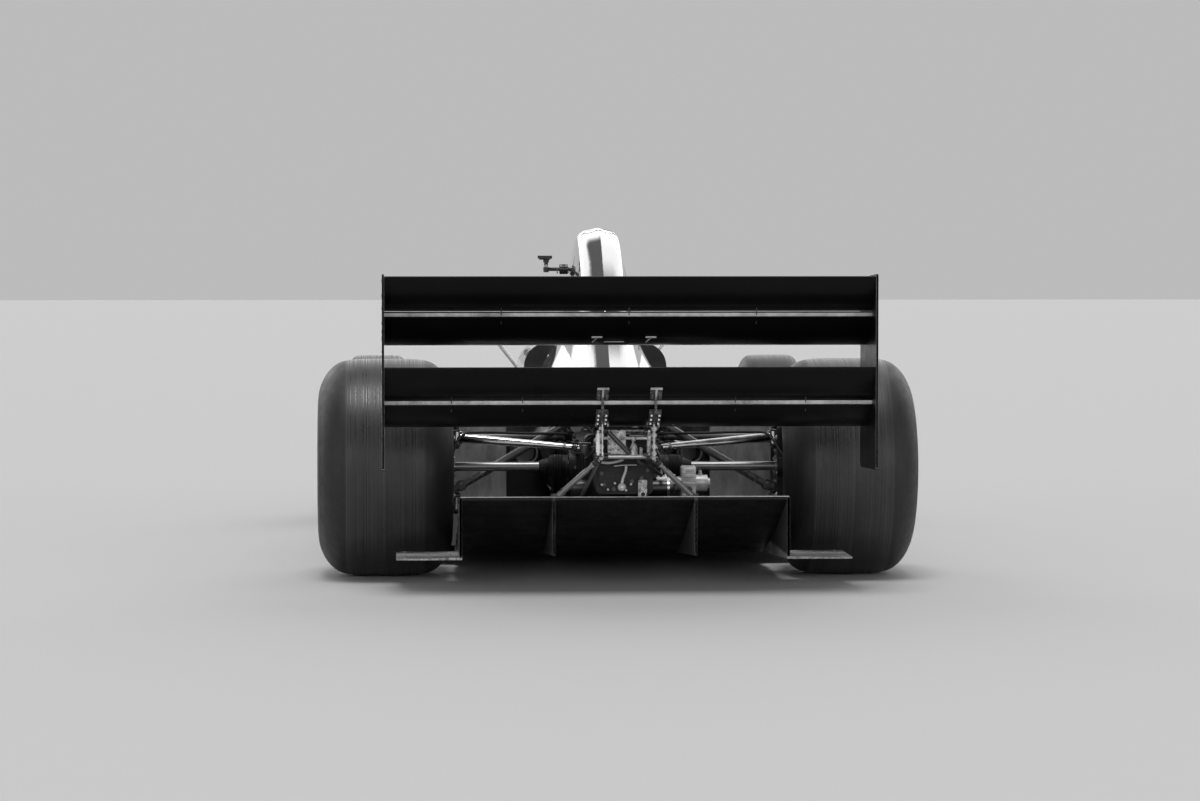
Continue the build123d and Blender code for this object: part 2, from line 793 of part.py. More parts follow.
def make_rim(axle):
    """A centre lock wheel on the X axis, its face towards +X."""
    bead, face, depth = tyre_sizes[axle][6:9]
    inner = rim_radius - rim_wall
    edge = bead + flange_width
    outline = (
        (-edge, inner),
        (edge, inner),
        (edge, rim_radius + flange_height),
        (bead, rim_radius + flange_height),
        (bead, rim_radius),
        (-bead, rim_radius),
        (-bead, rim_radius + flange_height),
        (-edge, rim_radius + flange_height),
    )
    shape = revolve(make_face(Polyline(*outline, close=True)), Axis.X)
    plane = Plane(origin=(face - depth, 0, 0), z_dir=(1, 0, 0))
    shape += extrude(plane * Circle(hub_flange_radius), depth)
    reach = inner + rim_wall / 2
    for pair in range(spoke_count // 2):
        turn = Rot(360.0 / (spoke_count // 2) * pair, 0, 0)
        for side in (-1, 1):
            centre = Pos(face - depth / 2, side * spoke_pair_gap / 2, (hub_flange_radius - 12.0 + reach) / 2)
            spoke = centre * Box(depth, spoke_width, reach - hub_flange_radius + 12.0)
            lean = Rot(side * -9.0, 0, 0)
            shape += turn * lean * spoke
    keep = extrude(Plane.YZ.offset(-edge) * Circle(rim_radius + flange_height), 2 * edge)
    bore = extrude(plane * Circle(wheel_nut_radius), 3 * depth)
    return (shape & keep) - bore


def make_hub(axle, shaft_end, with_driveshaft):
    """Hub, wheel nut and brake disc on the X axis, with the driveshaft on a driven wheel."""
    face, depth = tyre_sizes[axle][7:9]
    seat = face - depth
    disc_out = seat - hub_flange_depth - disc_gap
    disc_in = disc_out - disc_thickness
    steps = [
        (seat + wheel_nut_length, 0.0),
        (seat + wheel_nut_length, wheel_nut_radius * 0.8),
        (seat + depth + 4.0, wheel_nut_radius),
        (seat, wheel_nut_radius),
        (seat, hub_flange_radius),
        (seat - hub_flange_depth, hub_flange_radius),
        (seat - hub_flange_depth, hub_mid_radius),
        (disc_out, hub_mid_radius),
        (disc_out, disc_radius),
        (disc_in, disc_radius),
        (disc_in, hub_mid_radius),
        (disc_in - disc_gap / 2, hub_mid_radius),
        (disc_in - disc_gap / 2, hub_shaft_radius),
        (shaft_end, hub_shaft_radius),
    ]
    if with_driveshaft:
        can_start = -(rear_track / 2 - output_boss_x - joint_gap)
        can_end = can_start + joint_can_length
        steps += [
            (shaft_end, driveshaft_radius),
            (can_end + 34.0, driveshaft_radius),
            (can_end, joint_can_radius * 0.8),
            (can_end, joint_can_radius),
            (can_start, joint_can_radius),
            (can_start, stub_radius),
            (can_start - joint_gap - stub_depth, stub_radius),
            (can_start - joint_gap - stub_depth, 0.0),
        ]
    else:
        steps.append((shaft_end, 0.0))
    return revolve(make_face(Polyline(*steps, close=True)), Axis.X)


def make_rear_upright():
    """The left rear upright, round the wheel's shaft, with its brake caliper."""
    wheel_x = rear_track / 2
    face, depth = tyre_sizes["rear"][7:9]
    disc_in = wheel_x + face - depth - hub_flange_depth - disc_gap - disc_thickness
    outer_x = disc_in - disc_gap
    plate = box_between(
        upright_face,
        upright_face + upright_plate,
        -upright_length / 2,
        upright_length / 2,
        rear_axle_z - upright_half_height,
        rear_axle_z + upright_half_height,
    )
    plate = fillet(plate.edges().filter_by(Axis.X), 24.0)
    plane = Plane(origin=(upright_face, y_at(0), rear_axle_z), z_dir=(1, 0, 0))
    shape = plate + extrude(plane * Circle(bearing_housing_radius), outer_x - upright_face)
    caliper = make_caliper(outer_x, disc_in, y_at(0), rear_axle_z)
    bore = extrude(plane * Circle(hub_shaft_radius + turning_gap), outer_x - upright_face)
    return shape + caliper - bore


def make_caliper(inner_x, disc_in, y, z):
    """A brake caliper over the back of a disc, with its arm to the upright."""
    low, high = disc_radius - 42.0, disc_radius + 12.0
    disc_out = disc_in + disc_thickness
    x0, x1 = inner_x - 22.0, disc_out + disc_gap + 16.0
    body = Pos((x0 + x1) / 2, y + (low + high) / 2, z) * Box(x1 - x0, high - low, caliper_length)
    slot_x0, slot_x1 = disc_in - disc_gap, disc_out + disc_gap
    slot = Pos((slot_x0 + slot_x1) / 2, y, z) * Box(slot_x1 - slot_x0, 2 * disc_radius + disc_gap, 200.0)
    arm_x = inner_x - 11.0
    arm = Pos(arm_x, y + (low + 20.0) / 2, z) * Box(22.0, low + 20.0, caliper_length * 0.7)
    return (body - slot) + arm


def make_knuckle():
    """The left front upright with its steering arm and caliper, on the steering axis."""
    x = front_track / 2 - kingpin_offset
    y = y_at(wheelbase)
    face, depth = tyre_sizes["front"][7:9]
    disc_in = front_track / 2 + face - depth - hub_flange_depth - disc_gap - disc_thickness
    outer_x = disc_in - disc_gap
    bar = Pos(x, y, front_axle_z) * Box(knuckle_width, knuckle_length, 2 * kingpin_reach)
    bar = fillet(bar.edges().filter_by(Axis.X), 12.0)
    plane = Plane(origin=(x - knuckle_width / 2 - 12.0, y, front_axle_z), z_dir=(1, 0, 0))
    housing_length = outer_x - (x - knuckle_width / 2 - 12.0)
    shape = bar + extrude(plane * Circle(bearing_housing_radius - 4.0), housing_length)
    shape += make_caliper(outer_x, disc_in, y, front_axle_z)
    arm_z = front_axle_z + steering_arm_height
    arm_low = arm_z - rod_eye_half_height - face_gap - steering_arm_thickness
    arm_end = y - steering_arm_length
    arm = Pos(x, (y + arm_end) / 2, arm_low + steering_arm_thickness / 2)
    shape += arm * Box(28.0, steering_arm_length, steering_arm_thickness)
    tip = Plane(origin=(x, arm_end, arm_low), z_dir=(0, 0, 1))
    shape += extrude(tip * Circle(14.0), steering_arm_thickness)
    shape -= extrude(plane * Circle(hub_shaft_radius + turning_gap), housing_length)
    for side in (-1, 1):
        top = Plane(origin=(x, y, front_axle_z + side * kingpin_reach), z_dir=(0, 0, -side))
        shape -= extrude(top * Circle(kingpin_radius + pin_gap), kingpin_depth + 2.0)
    return shape


def front_ball(side):
    """The ball and pin of a front wishbone: side is 1 at the top and -1 at the bottom."""
    x, y = front_track / 2 - kingpin_offset, y_at(wheelbase)
    z = front_axle_z + side * (kingpin_reach + face_gap)
    ball = Plane(origin=(x, y, z), z_dir=(0, 0, side))
    pin = Plane(origin=(x, y, z), z_dir=(0, 0, -side))
    return extrude(ball * Circle(ball_radius), ball_height) + extrude(pin * Circle(kingpin_radius), kingpin_depth)


def make_front_arms(tub):
    """The left front wishbones and pushrod, between the tub and the steering balls."""
    ball_x = front_track / 2 - kingpin_offset
    reach = kingpin_reach + face_gap + ball_height / 2
    solids = []
    for side, spread, inner_z, radius in ((1, 150.0, 428.0, 9.0), (-1, 170.0, 150.0, 10.5)):
        outer = point(ball_x - 6.0, wheelbase, front_axle_z + side * reach)
        shape = front_ball(side)
        for way in (-1, 1):
            station = wheelbase + way * spread
            inner = point(tub_row(station)[2] - 12.0, station, inner_z)
            shape += rod(outer, inner, radius)
        solids.append(shape - tub)
    low = point(ball_x - 62.0, wheelbase + 4.0, front_axle_z - reach + 2.0)
    high = point(tub_row(wheelbase)[2] - 14.0, wheelbase + 4.0, 418.0)
    pushrod = rod(low, high, 9.5) - tub
    solids[1] = solids[1] + pushrod
    return solids


def make_rack():
    """The rack with both track rods, as one sliding bar, with an eye on each steering arm."""
    x = front_track / 2 - kingpin_offset
    z = front_axle_z + steering_arm_height
    station = wheelbase + steering_arm_length
    bar = rod(point(-x, station, z), point(x, station, z), track_rod_radius)
    for side in (-1, 1):
        eye = Plane(origin=(side * x, y_at(station), z - rod_eye_half_height), z_dir=(0, 0, 1))
        bar += extrude(eye * Circle(rod_eye_radius), 2 * rod_eye_half_height)
    return bar


def make_rack_housing():
    """The rack's tube, on a bracket from the tub's floor."""
    z = front_axle_z + steering_arm_height
    station = wheelbase + steering_arm_length
    half = (tub_row(station)[1] + tub_row(station)[2]) / 2 - tub_wall
    reach = min(rack_housing_length / 2, half - 8.0)
    ends = point(-reach, station, z), point(reach, station, z)
    shape = rod(*ends, rack_housing_radius)
    for side in (-1, 1):
        x = side * reach * 0.6
        shape += box_between(x - 8.0, x + 8.0, station - 16.0, station + 16.0, cockpit_floor, z)
    return shape - rod(*ends, track_rod_radius + turning_gap)


def arm_eye(centre):
    """The upright eye at the outer end of a rear wishbone."""
    low = centre - Vector(0, 0, arm_eye_height / 2)
    return extrude(Plane(origin=low, z_dir=(0, 0, 1)) * Circle(arm_eye_radius), arm_eye_height)


def make_rear_arms(gearbox, upright, diffuser):
    """The left rear wishbones and pushrod, between the gearbox and the upright."""
    outer_x = upright_face - 8.0
    high, low = rear_axle_z + upper_arm_rise, rear_axle_z - lower_arm_drop
    upper_outer = point(outer_x, -12.0, high)
    lower_outer = point(outer_x, 0.0, low)
    block = gearbox_half_width - 12.0
    upper_inner = point(block, -120.0, rear_axle_z + 59.0)
    upper = rod(upper_outer, upper_inner, 15.0, 8.0) + arm_eye(upper_outer)
    upper += rod(upper_inner, upper_inner + (upper_outer - upper_inner).normalized() * 42.0, 13.0)
    upper += rod(upper_outer, point(bell_half_width - 70.0, 250.0, rear_axle_z + 75.0), 10.0)
    lower = rod(lower_outer, point(block, -130.0, gearbox_low + 14.0), 10.0) + arm_eye(lower_outer)
    lower += rod(lower_outer, point(block, 240.0, gearbox_low - 14.0), 10.0)
    push_low = point(outer_x + 14.0, 42.0, rear_axle_z - 76.0)
    push_high = point(gearbox_half_width + 14.0, 42.0, gearbox_high + 42.0)
    pushrod = rod(push_low, push_high, pushrod_radius)
    rocker = box_between(
        gearbox_half_width - 36.0,
        gearbox_half_width + 22.0,
        42.0 - rocker_width / 2,
        42.0 + rocker_width / 2,
        gearbox_high - 30.0,
        gearbox_high + 56.0,
    )
    pushrod += rocker
    return [piece - gearbox - upright - diffuser for piece in (upper, lower, pushrod)]


def make_front_wing(nose):
    """The front wing: main plane on two pylons, two flaps and two endplates."""
    inner = front_half_span - front_plate
    main = make_element(front_main, front_main_thickness, front_main_camber, -inner, inner)
    high = nose_sections[0][3] + 20.0
    for side in (-1, 1):
        x = side * pylon_x - pylon_thickness / 2
        points = (
            along_chord(front_main, 0.25, front_main_camber * 0.7),
            along_chord(front_main, 0.80, front_main_camber * 0.7),
            (nose_tip - 260.0, high + 40.0),
            (nose_tip - 110.0, high + 60.0),
        )
        main += extrude(side_face(points, x), pylon_thickness)
    main = main - nose
    flap = make_element(front_flap, front_flap_thickness, front_flap_camber, front_flap_inner, inner)
    corners = (
        (y_at(nose_tip), front_plate_low, 6.0),
        (y_at(nose_tip), front_plate_low + 95.0, 40.0),
        (y_at(nose_tip - 200.0), front_plate_high, 40.0),
        (y_at(front_plate_rear), front_plate_high, 16.0),
        (y_at(front_plate_rear), front_plate_low, 6.0),
    )
    plane = Plane(origin=(inner, 0, 0), x_dir=(0, 1, 0), z_dir=(1, 0, 0))
    plate = extrude(plane * rounded_outline(corners), front_plate)
    plate += box_between(
        inner, inner + front_foot_width, nose_tip - 60.0, front_plate_rear, front_plate_low, front_plate_low + 6.0
    )
    return main, flap, plate


def make_seat():
    """The reclined seat shell inside the cockpit."""
    front, back = cockpit_front - 150.0, cockpit_rear + 6.0
    low = cockpit_floor
    lower = ((front, low), (front - 250.0, low), (back, low + 400.0))
    upper = (
        (back, low + 400.0 + 1.4 * seat_thickness),
        (back + 30.0, low + 400.0 + 1.4 * seat_thickness),
        (front - 230.0, low + seat_thickness),
        (front, low + seat_thickness),
    )
    return extrude(side_face([*lower, *upper], -seat_half_width), 2 * seat_half_width)


def make_steering_wheel():
    """The steering wheel with its hub and column."""
    start, end = column_ends()
    axis = (end - start).normalized()
    back = Plane(origin=start - axis * 18.0, x_dir=(1, 0, 0), z_dir=axis)
    path = back * RectangleRounded(2 * steering_wheel_radius, 1.45 * steering_wheel_radius, 52.0).wire()
    first = path.edges()[0]
    section = Plane(origin=first @ 0, z_dir=first % 0) * Circle(steering_rim_radius)
    rim = sweep(section, path=path)
    spoke = back * Pos(0, 0, 5.0) * Box(2 * steering_wheel_radius - 10.0, 62.0, 10.0)
    boss = extrude(back * Circle(30.0), 42.0)
    return rim + spoke + boss + rod(start, end, column_radius)


def make_screen(tub):
    """The small wrap round windscreen on the tub ahead of the cockpit."""
    station = dash_station - 175.0
    low = tub_row(dash_station)[4] - 60.0
    high = low + screen_height + 60.0
    lean = 46.0
    points = (
        (screen_radius, low),
        (screen_radius + screen_thickness, low),
        (screen_radius + screen_thickness - lean, high),
        (screen_radius - lean, high),
    )
    face = Plane.XZ * make_face(Polyline(*points, close=True))
    band = revolve(face, Axis.Z, 2 * screen_half_angle)
    turn = Rot(0, 0, -90.0 - screen_half_angle)
    return Pos(0, y_at(station), 0) * turn * band - tub


def make_mirror(tub):
    """The left mirror, on a stalk from the side of the tub."""
    station = dash_station - 60.0
    root = point(tub_row(station)[2] - 10.0, station, tub_row(station)[4] - mirror_root_drop)
    head = point(mirror_x, station + 8.0, mirror_z)
    pod = cross_plane(station) * RectangleRounded(mirror_width, mirror_height, 16.0)
    pod = extrude(Pos(mirror_x, 0, mirror_z) * pod, mirror_depth, taper=14)
    return pod + rod(root, head, 6.0) - tub


def make_camera_arm(cover):
    """The bare camera arm on the left of the air inlet."""
    station = tub_rear - 60.0
    z = 905.0
    arm = rod(point(70.0, station, z), point(165.0, station, z), 6.0)
    arm += rod(point(92.0, station, z), point(120.0, station, z), 15.0)
    arm += rod(point(163.0, station, z - 8.0), point(163.0, station, z + 36.0), 6.5)
    arm += box_between(144.0, 190.0, station - 14.0, station + 14.0, z + 34.0, z + 44.0)
    return arm - cover


def wheel_place(axle, side):
    """Where a wheel's own frame goes: side is 1 on the left and -1 on the right."""
    rear = axle == "rear"
    x = (rear_track if rear else front_track) / 2
    place = Pos(side * x, y_at(0 if rear else wheelbase), rear_axle_z if rear else front_axle_z)
    return place * (Rot(0, 0, 0) if side > 0 else Rot(0, 0, 180))


def make_wheels():
    """Writes the tyres, rims and hubs of all four wheels."""
    for axle in ("front", "rear"):
        rear = axle == "rear"
        if rear:
            shaft_end = upright_face - 4.0 - rear_track / 2
        else:
            shaft_end = -kingpin_offset - knuckle_width / 2 - 12.0
        pieces = {
            "tyre": make_tyre(axle),
            "rim": make_rim(axle),
            "hub": make_hub(axle, shaft_end, rear),
        }
        for name, piece in pieces.items():
            for label, side in (("left", 1), ("right", -1)):
                save(f"{name}_{axle}_{label}", wheel_place(axle, side) * piece)


def main():
    """Makes every piece and writes it."""
    floor = make_floor()
    outer = tub_outer() - floor
    tub = make_tub(outer)
    cover = make_cover(outer)
    nose = make_nose()
    gearbox = make_gearbox()
    diffuser = make_diffuser()
    wing = make_rear_wing()
    save("tub", tub)
    save("nose_cone", nose)
    save("engine_cover", cover)
    pod, core = make_pod(outer, cover)
    for name, piece in (("side_pod", pod), ("radiator", core)):
        left, right = both_sides(piece)
        save(f"{name}_left", left)
        save(f"{name}_right", right)
    save("floor", floor)
    save("diffuser", diffuser)
    engine = make_engine()
    save("engine", engine)
    save("gearbox", gearbox)
    save("shift_actuator", make_actuator(gearbox))
    save("exhausts", *both_sides(make_exhausts(engine)))
    for name, piece in wing.items():
        save(name, piece)
    save("rear_endplates", *both_sides(make_rear_endplate()))
    save("wing_pillars", make_wing_mount(wing, gearbox, diffuser))
    front_wing, front_flap_left, front_plate_left = make_front_wing(nose)
    save("front_wing_main", front_wing)
    save("front_wing_flaps", *both_sides(front_flap_left))
    save("front_endplates", *both_sides(front_plate_left))
    upright = make_rear_upright()
    rear_arms = make_rear_arms(gearbox, upright, diffuser)
    front_arms = make_front_arms(outer)
    knuckle = make_knuckle()
    for label, side in (("left", 1), ("right", -1)):
        turn = (lambda solid: solid) if side > 0 else (lambda solid: mirror(solid, about=Plane.YZ))
        save(f"rear_upright_{label}", turn(upright))
        save(f"rear_arms_{label}", *[turn(piece) for piece in rear_arms])
        save(f"front_arms_{label}", *[turn(piece) for piece in front_arms])
        save(f"front_knuckle_{label}", turn(knuckle))
    save("track_rods", make_rack())
    save("rack_housing", make_rack_housing())
    save("seat", make_seat())
    save("steering_wheel", make_steering_wheel())
    save("windscreen", make_screen(outer))
    save("camera_arm", make_camera_arm(cover))
    save("mirrors", *both_sides(make_mirror(outer)))
    make_wheels()


main()
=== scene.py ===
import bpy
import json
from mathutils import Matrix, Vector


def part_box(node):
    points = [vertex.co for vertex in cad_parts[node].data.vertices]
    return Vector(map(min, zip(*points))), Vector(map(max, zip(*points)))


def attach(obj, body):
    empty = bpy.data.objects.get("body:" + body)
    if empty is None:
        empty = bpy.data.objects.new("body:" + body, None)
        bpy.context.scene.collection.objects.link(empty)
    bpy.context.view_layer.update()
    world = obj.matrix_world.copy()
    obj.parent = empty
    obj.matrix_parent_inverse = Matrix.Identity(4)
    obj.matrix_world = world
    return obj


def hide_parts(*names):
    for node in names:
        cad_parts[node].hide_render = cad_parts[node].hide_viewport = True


bl_info = {
    "name": "Open wheel racing car",
    "version": (1, 0, 0),
    "blender": (4, 5, 0),
    "location": "View3D > Sidebar > Racing car",
    "description": "Dresses the packed racing car with tyres, fittings, trim and finishes",
    "category": "Object",
}

import json
import math

import bmesh
import bpy
from mathutils import Matrix, Vector
from mathutils.bvhtree import BVHTree

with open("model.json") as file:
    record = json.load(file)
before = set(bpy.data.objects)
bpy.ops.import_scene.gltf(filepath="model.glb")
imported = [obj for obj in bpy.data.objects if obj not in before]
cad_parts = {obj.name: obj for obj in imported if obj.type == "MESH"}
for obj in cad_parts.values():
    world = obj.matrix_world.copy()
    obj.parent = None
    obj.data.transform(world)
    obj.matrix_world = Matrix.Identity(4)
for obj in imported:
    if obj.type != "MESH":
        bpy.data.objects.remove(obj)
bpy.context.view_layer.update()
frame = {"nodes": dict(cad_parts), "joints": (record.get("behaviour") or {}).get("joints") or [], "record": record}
NODES = frame["nodes"]
JOINTS = {joint["name"]: joint for joint in frame["joints"]}
SIDES = (("left", 1), ("right", -1))
X, Y, Z = Vector((1, 0, 0)), Vector((0, 1, 0)), Vector((0, 0, 1))

# Axles and steering, from the joints of the frame
REAR = Vector(JOINTS["wheel_rear_left_spin"]["pos_m"])
FRONT = Vector(JOINTS["wheel_front_left_spin"]["pos_m"])
KINGPIN = Vector(JOINTS["steer_left"]["pos_m"])
COLUMN = Vector(JOINTS["steering_wheel_turn"]["pos_m"])
COLUMN_AXIS = Vector(JOINTS["steering_wheel_turn"]["axis"]).normalized()


def at(x, station, z):
    """A point in metres from x, the distance ahead of the rear axle, and z."""
    return Vector((x, REAR.y - station, z))


def through(*places):
    """Points in metres, each from its x, station and z."""
    return [at(*place) for place in places]


def standing(loop, station):
    """A flat loop of (x, z) points stood up square to the car."""
    return [at(x, station, z) for x, z in loop]


# Node trees


class Socket:
    """An output socket that takes part in arithmetic."""

    def __init__(self, tree, out):
        self.tree = tree
        self.out = out

    def math(self, operation, first, second=None):
        node = self.tree.nodes.new("ShaderNodeMath")
        node.operation = operation
        plug(self.tree, node.inputs[0], first)
        if second is not None:
            plug(self.tree, node.inputs[1], second)
        return Socket(self.tree, node.outputs[0])

    def __add__(self, other):
        return self.math("ADD", self, other)

    def __sub__(self, other):
        return self.math("SUBTRACT", self, other)

    def __rsub__(self, other):
        return self.math("SUBTRACT", other, self)

    def __mul__(self, other):
        return self.math("MULTIPLY", self, other)

    def sine(self):
        return self.math("SINE", self)

    def size(self):
        return self.math("ABSOLUTE", self)

    def root(self):
        return self.math("SQRT", self)


def plug(tree, socket, value):
    """Links a wrapped socket, or sets a number, colour, vector or finish."""
    if isinstance(value, Socket):
        tree.links.new(value.out, socket)
    else:
        socket.default_value = value


class Graph:
    """A node tree being built."""

    def __init__(self, tree):
        self.tree = tree

    def node(self, kind, settings=None, output=0, sockets=None, **inputs):
        """Adds a node, sets its settings, then its inputs, and returns one output."""
        node = self.tree.nodes.new(kind)
        for key, value in (settings or {}).items():
            setattr(node, key, value)
        for key, value in (sockets or {}).items():
            plug(self.tree, node.inputs[key], value)
        for key, value in inputs.items():
            plug(self.tree, node.inputs[key.replace("_", " ")], value)
        return Socket(self.tree, node.outputs[output])


class Finish(Graph):
    """A material being built: its tree, its coordinates and its shader."""

    def __init__(self, name):
        packed = bpy.data.materials.get(name)
        if packed:
            packed.name = "packed_" + name
        self.material = bpy.data.materials.new(name)
        self.material.use_nodes = True
        super().__init__(self.material.node_tree)
        self.shader = self.tree.nodes["Principled BSDF"]

    def place(self, centre=(0.0, 0.0, 0.0), scale=(1.0, 1.0, 1.0)):
        """Object coordinates with centre moved to zero, then scaled."""
        where = self.node("ShaderNodeTexCoord", output="Object")
        shift = [-c * s for c, s in zip(centre, scale)]
        return self.node("ShaderNodeMapping", {"vector_type": "POINT"}, Vector=where, Location=shift, Scale=scale)

    def parts(self, where):
        """The x, y and z of a place."""
        node = self.tree.nodes.new("ShaderNodeSeparateXYZ")
        plug(self.tree, node.inputs[0], where)
        return [Socket(self.tree, node.outputs[i]) for i in range(3)]

    def noise(self, scale, detail=4.0, roughness=0.6, stretch=(1.0, 1.0, 1.0), centre=(0.0, 0.0, 0.0)):
        """Soft noise between 0 and 1 over the object."""
        where = self.place(centre, stretch)
        return self.node("ShaderNodeTexNoise", Vector=where, Scale=scale, Detail=detail, Roughness=roughness)

    def line(self, value, scale, detail=3.0):
        """Noise along one number."""
        return self.node(
            "ShaderNodeTexNoise", {"noise_dimensions": "1D"}, W=value * scale, Scale=1.0, Detail=detail
        )

    def ramp(self, value, low, high, start=0.0, end=1.0):
        """Maps value from low..high to start..end and keeps it there."""
        return self.node(
            "ShaderNodeMapRange", {"clamp": True}, Value=value, From_Min=low, From_Max=high, To_Min=start,
            To_Max=end
        )

    def cloud(self, scale, detail, roughness, low, high, start=0.0, end=1.0):
        """Noise over the object, spread as ramp does."""
        return self.ramp(self.noise(scale, detail, roughness), low, high, start, end)

    def grey(self, value):
        """A neutral colour from a value."""
        return self.node("ShaderNodeCombineColor", Red=value, Green=value, Blue=value)

    def bump(self, height, distance):
        """A normal from a height."""
        return self.node("ShaderNodeBump", Height=height, Distance=distance, Strength=1.0)

    def done(self, **inputs):
        """Sets the shader's sockets and returns the material."""
        for key, value in inputs.items():
            plug(self.tree, self.shader.inputs[key.replace("_", " ")], value)
        return self.material


def gloss_finish(name, level, low_rough, high_rough, coat, specks=0.0):
    """Lacquered panels: fine orange peel, faint mottling and road dust."""
    f = Finish(name)
    fine = f.noise(240.0, 3.0, 0.55)
    shade = f.cloud(3.2, 5.0, 0.62, 0.35, 0.68, level * 0.86, level * 1.12)
    dots = f.cloud(420.0, 2.0, 0.5, 0.66, 0.74)
    dust = f.cloud(18.0, 6.0, 0.72, 0.52, 0.8)
    rough = f.cloud(9.0, 6.0, 0.7, 0.35, 0.72, low_rough, high_rough)
    return f.done(
        Base_Color=f.grey(shade + dots * specks + dust * (specks * 0.4)),
        Roughness=rough + fine * 0.02 + dust * 0.06, Metallic=0.0, Coat_Weight=coat, Coat_Roughness=0.04,
        Normal=f.bump(f.noise(70.0, 2.0, 0.5) + fine * 0.4, 0.00012)
    )


def weave_finish(name, level, coat, rough, specular):
    """Woven cloth in resin: a twill of two crossing sets of threads."""
    f = Finish(name)
    x, y, z = f.parts(f.place())
    across = x + z * 0.5
    along = y + z * 0.5
    twill = ((across + along) * 628.0).sine()
    cell = f.ramp((across * 1256.0).sine() * (along * 1256.0).sine() + twill * 0.5, -1.2, 1.2)
    cloud = f.noise(2.6, 4.0, 0.6)
    dust = f.cloud(16.0, 6.0, 0.72, 0.5, 0.78)
    shade = f.ramp(cell, 0.2, 0.8, level * 0.72, level * 1.35) * f.ramp(cloud, 0.3, 0.7, 0.85, 1.15)
    smear = f.cloud(7.0, 5.0, 0.7, 0.3, 0.75, rough - 0.06, rough + 0.08)
    return f.done(
        Base_Color=f.grey(shade + dust * (level * 0.5)), Roughness=smear + dust * 0.1, Metallic=0.0,
        Specular_IOR_Level=specular, Coat_Weight=coat, Coat_Roughness=0.05,
        Normal=f.bump(f.noise(60.0, 2.0, 0.5), 0.0001)
    )


def metal_finish(name, level, low_rough, high_rough, stretch=(1.0, 1.0, 1.0), grain=0.00005):
    """Machined or plated metal with fine lines and smudges."""
    f = Finish(name)
    smudge = f.noise(22.0, 5.0, 0.65)
    lines = f.noise(380.0, 3.0, 0.6, stretch)
    return f.done(
        Base_Color=f.grey(f.ramp(smudge, 0.3, 0.72, level * 0.78, level * 1.06)),
        Roughness=f.ramp(smudge * 0.6 + lines * 0.4, 0.3, 0.7, low_rough, high_rough), Metallic=1.0,
        Normal=f.bump(lines, grain)
    )


def rear_arm_finish(name, level):
    """Plated arms with painted shade on their legs ahead of the axle, where they are also rougher and less
    metallic.
    """
    f = Finish(name)
    y = f.parts(f.place(tuple(REAR)))[1]
    # One behind the axle, falling to zero ahead of it, where the colour is darkened as painted shade
    lit = f.ramp(y, -0.016, 0.006)
    smudge = f.noise(22.0, 5.0, 0.65)
    return f.done(
        Base_Color=f.grey(f.ramp(smudge, 0.3, 0.72, level * 0.8, level * 1.05) * (lit * 0.82 + 0.18)),
        Roughness=f.ramp(smudge, 0.3, 0.7, 0.1, 0.22) + (1.0 - lit) * 0.2, Metallic=lit * 0.6 + 0.4,
        Normal=f.bump(f.noise(380.0, 3.0, 0.6, (8.0, 1.0, 8.0)), 0.00002)
    )


def pod_finish(name, level, reflection_level):
    """Lacquered pods whose rear ends are rougher, part metallic and uncoated, lightened with wavy upright streaks
    as a painted reflection of the track.
    """
    f = Finish(name)
    y = f.parts(f.place())[1]
    # One on the pods' rear ends, which carry the painted reflection
    end = f.ramp(y, REAR.y - POD_TAIL - 0.001, REAR.y - POD_TAIL)
    cloud = f.cloud(3.2, 5.0, 0.62, 0.35, 0.68, 0.86, 1.12)
    reflection_streaks = f.ramp(f.noise(20.0, 5.0, 0.7, (1.0, 1.0, 0.3)), 0.35, 0.72, 0.6, 1.4)
    dust = f.cloud(18.0, 6.0, 0.72, 0.52, 0.8)
    return f.done(
        Base_Color=f.grey(cloud * level * (1.0 - end) + reflection_streaks * end * reflection_level + dust * 0.008),
        Roughness=f.cloud(9.0, 6.0, 0.7, 0.35, 0.72, 0.1, 0.2) + dust * 0.06 + end * 0.3, Metallic=end * 0.4,
        Coat_Weight=1.0 - end, Coat_Roughness=0.04, Normal=f.bump(f.noise(70.0, 2.0, 0.5), 0.00012)
    )


def mirror_pod_finish(name, level, stalk):
    """Black mirror housings on polished stalks."""
    f = Finish(name)
    z = f.parts(f.place())[2]
    housing = f.ramp(z, 0.66, 0.662)
    cloud = f.cloud(30.0, 4.0, 0.6, 0.3, 0.7, 0.85, 1.15)
    return f.done(
        Base_Color=f.grey((housing * level + (1.0 - housing) * stalk) * cloud),
        Roughness=f.cloud(60.0, 3.0, 0.6, 0.3, 0.7, 0.12, 0.22) + housing * 0.1, Metallic=1.0 - housing,
        Normal=f.bump(f.noise(90.0, 2.0, 0.5), 0.00002)
    )


def pillar_finish(name, level, metallic=0.9, stay=None):
    """Machined plate, mottled by heat and handling; with stay given, plain tube below the posts."""
    f = Finish(name)
    z = f.parts(f.place())[2]
    mottle = f.noise(105.0, 4.0, 0.8)
    smudge = f.noise(24.0, 5.0, 0.7)
    worn = f.ramp(mottle, 0.36, 0.64, level * 0.12, level * 1.7) * f.ramp(smudge, 0.3, 0.7, 0.75, 1.15)
    if stay is not None:
        post = f.ramp(z, 0.382, 0.385)
        worn = worn * post + f.ramp(smudge, 0.3, 0.7, stay * 0.85, stay) * (1.0 - post)
    return f.done(
        Base_Color=f.grey(worn), Roughness=f.ramp(mottle, 0.3, 0.7, 0.24, 0.46), Metallic=metallic,
        Normal=f.bump(mottle, 0.00012)
    )


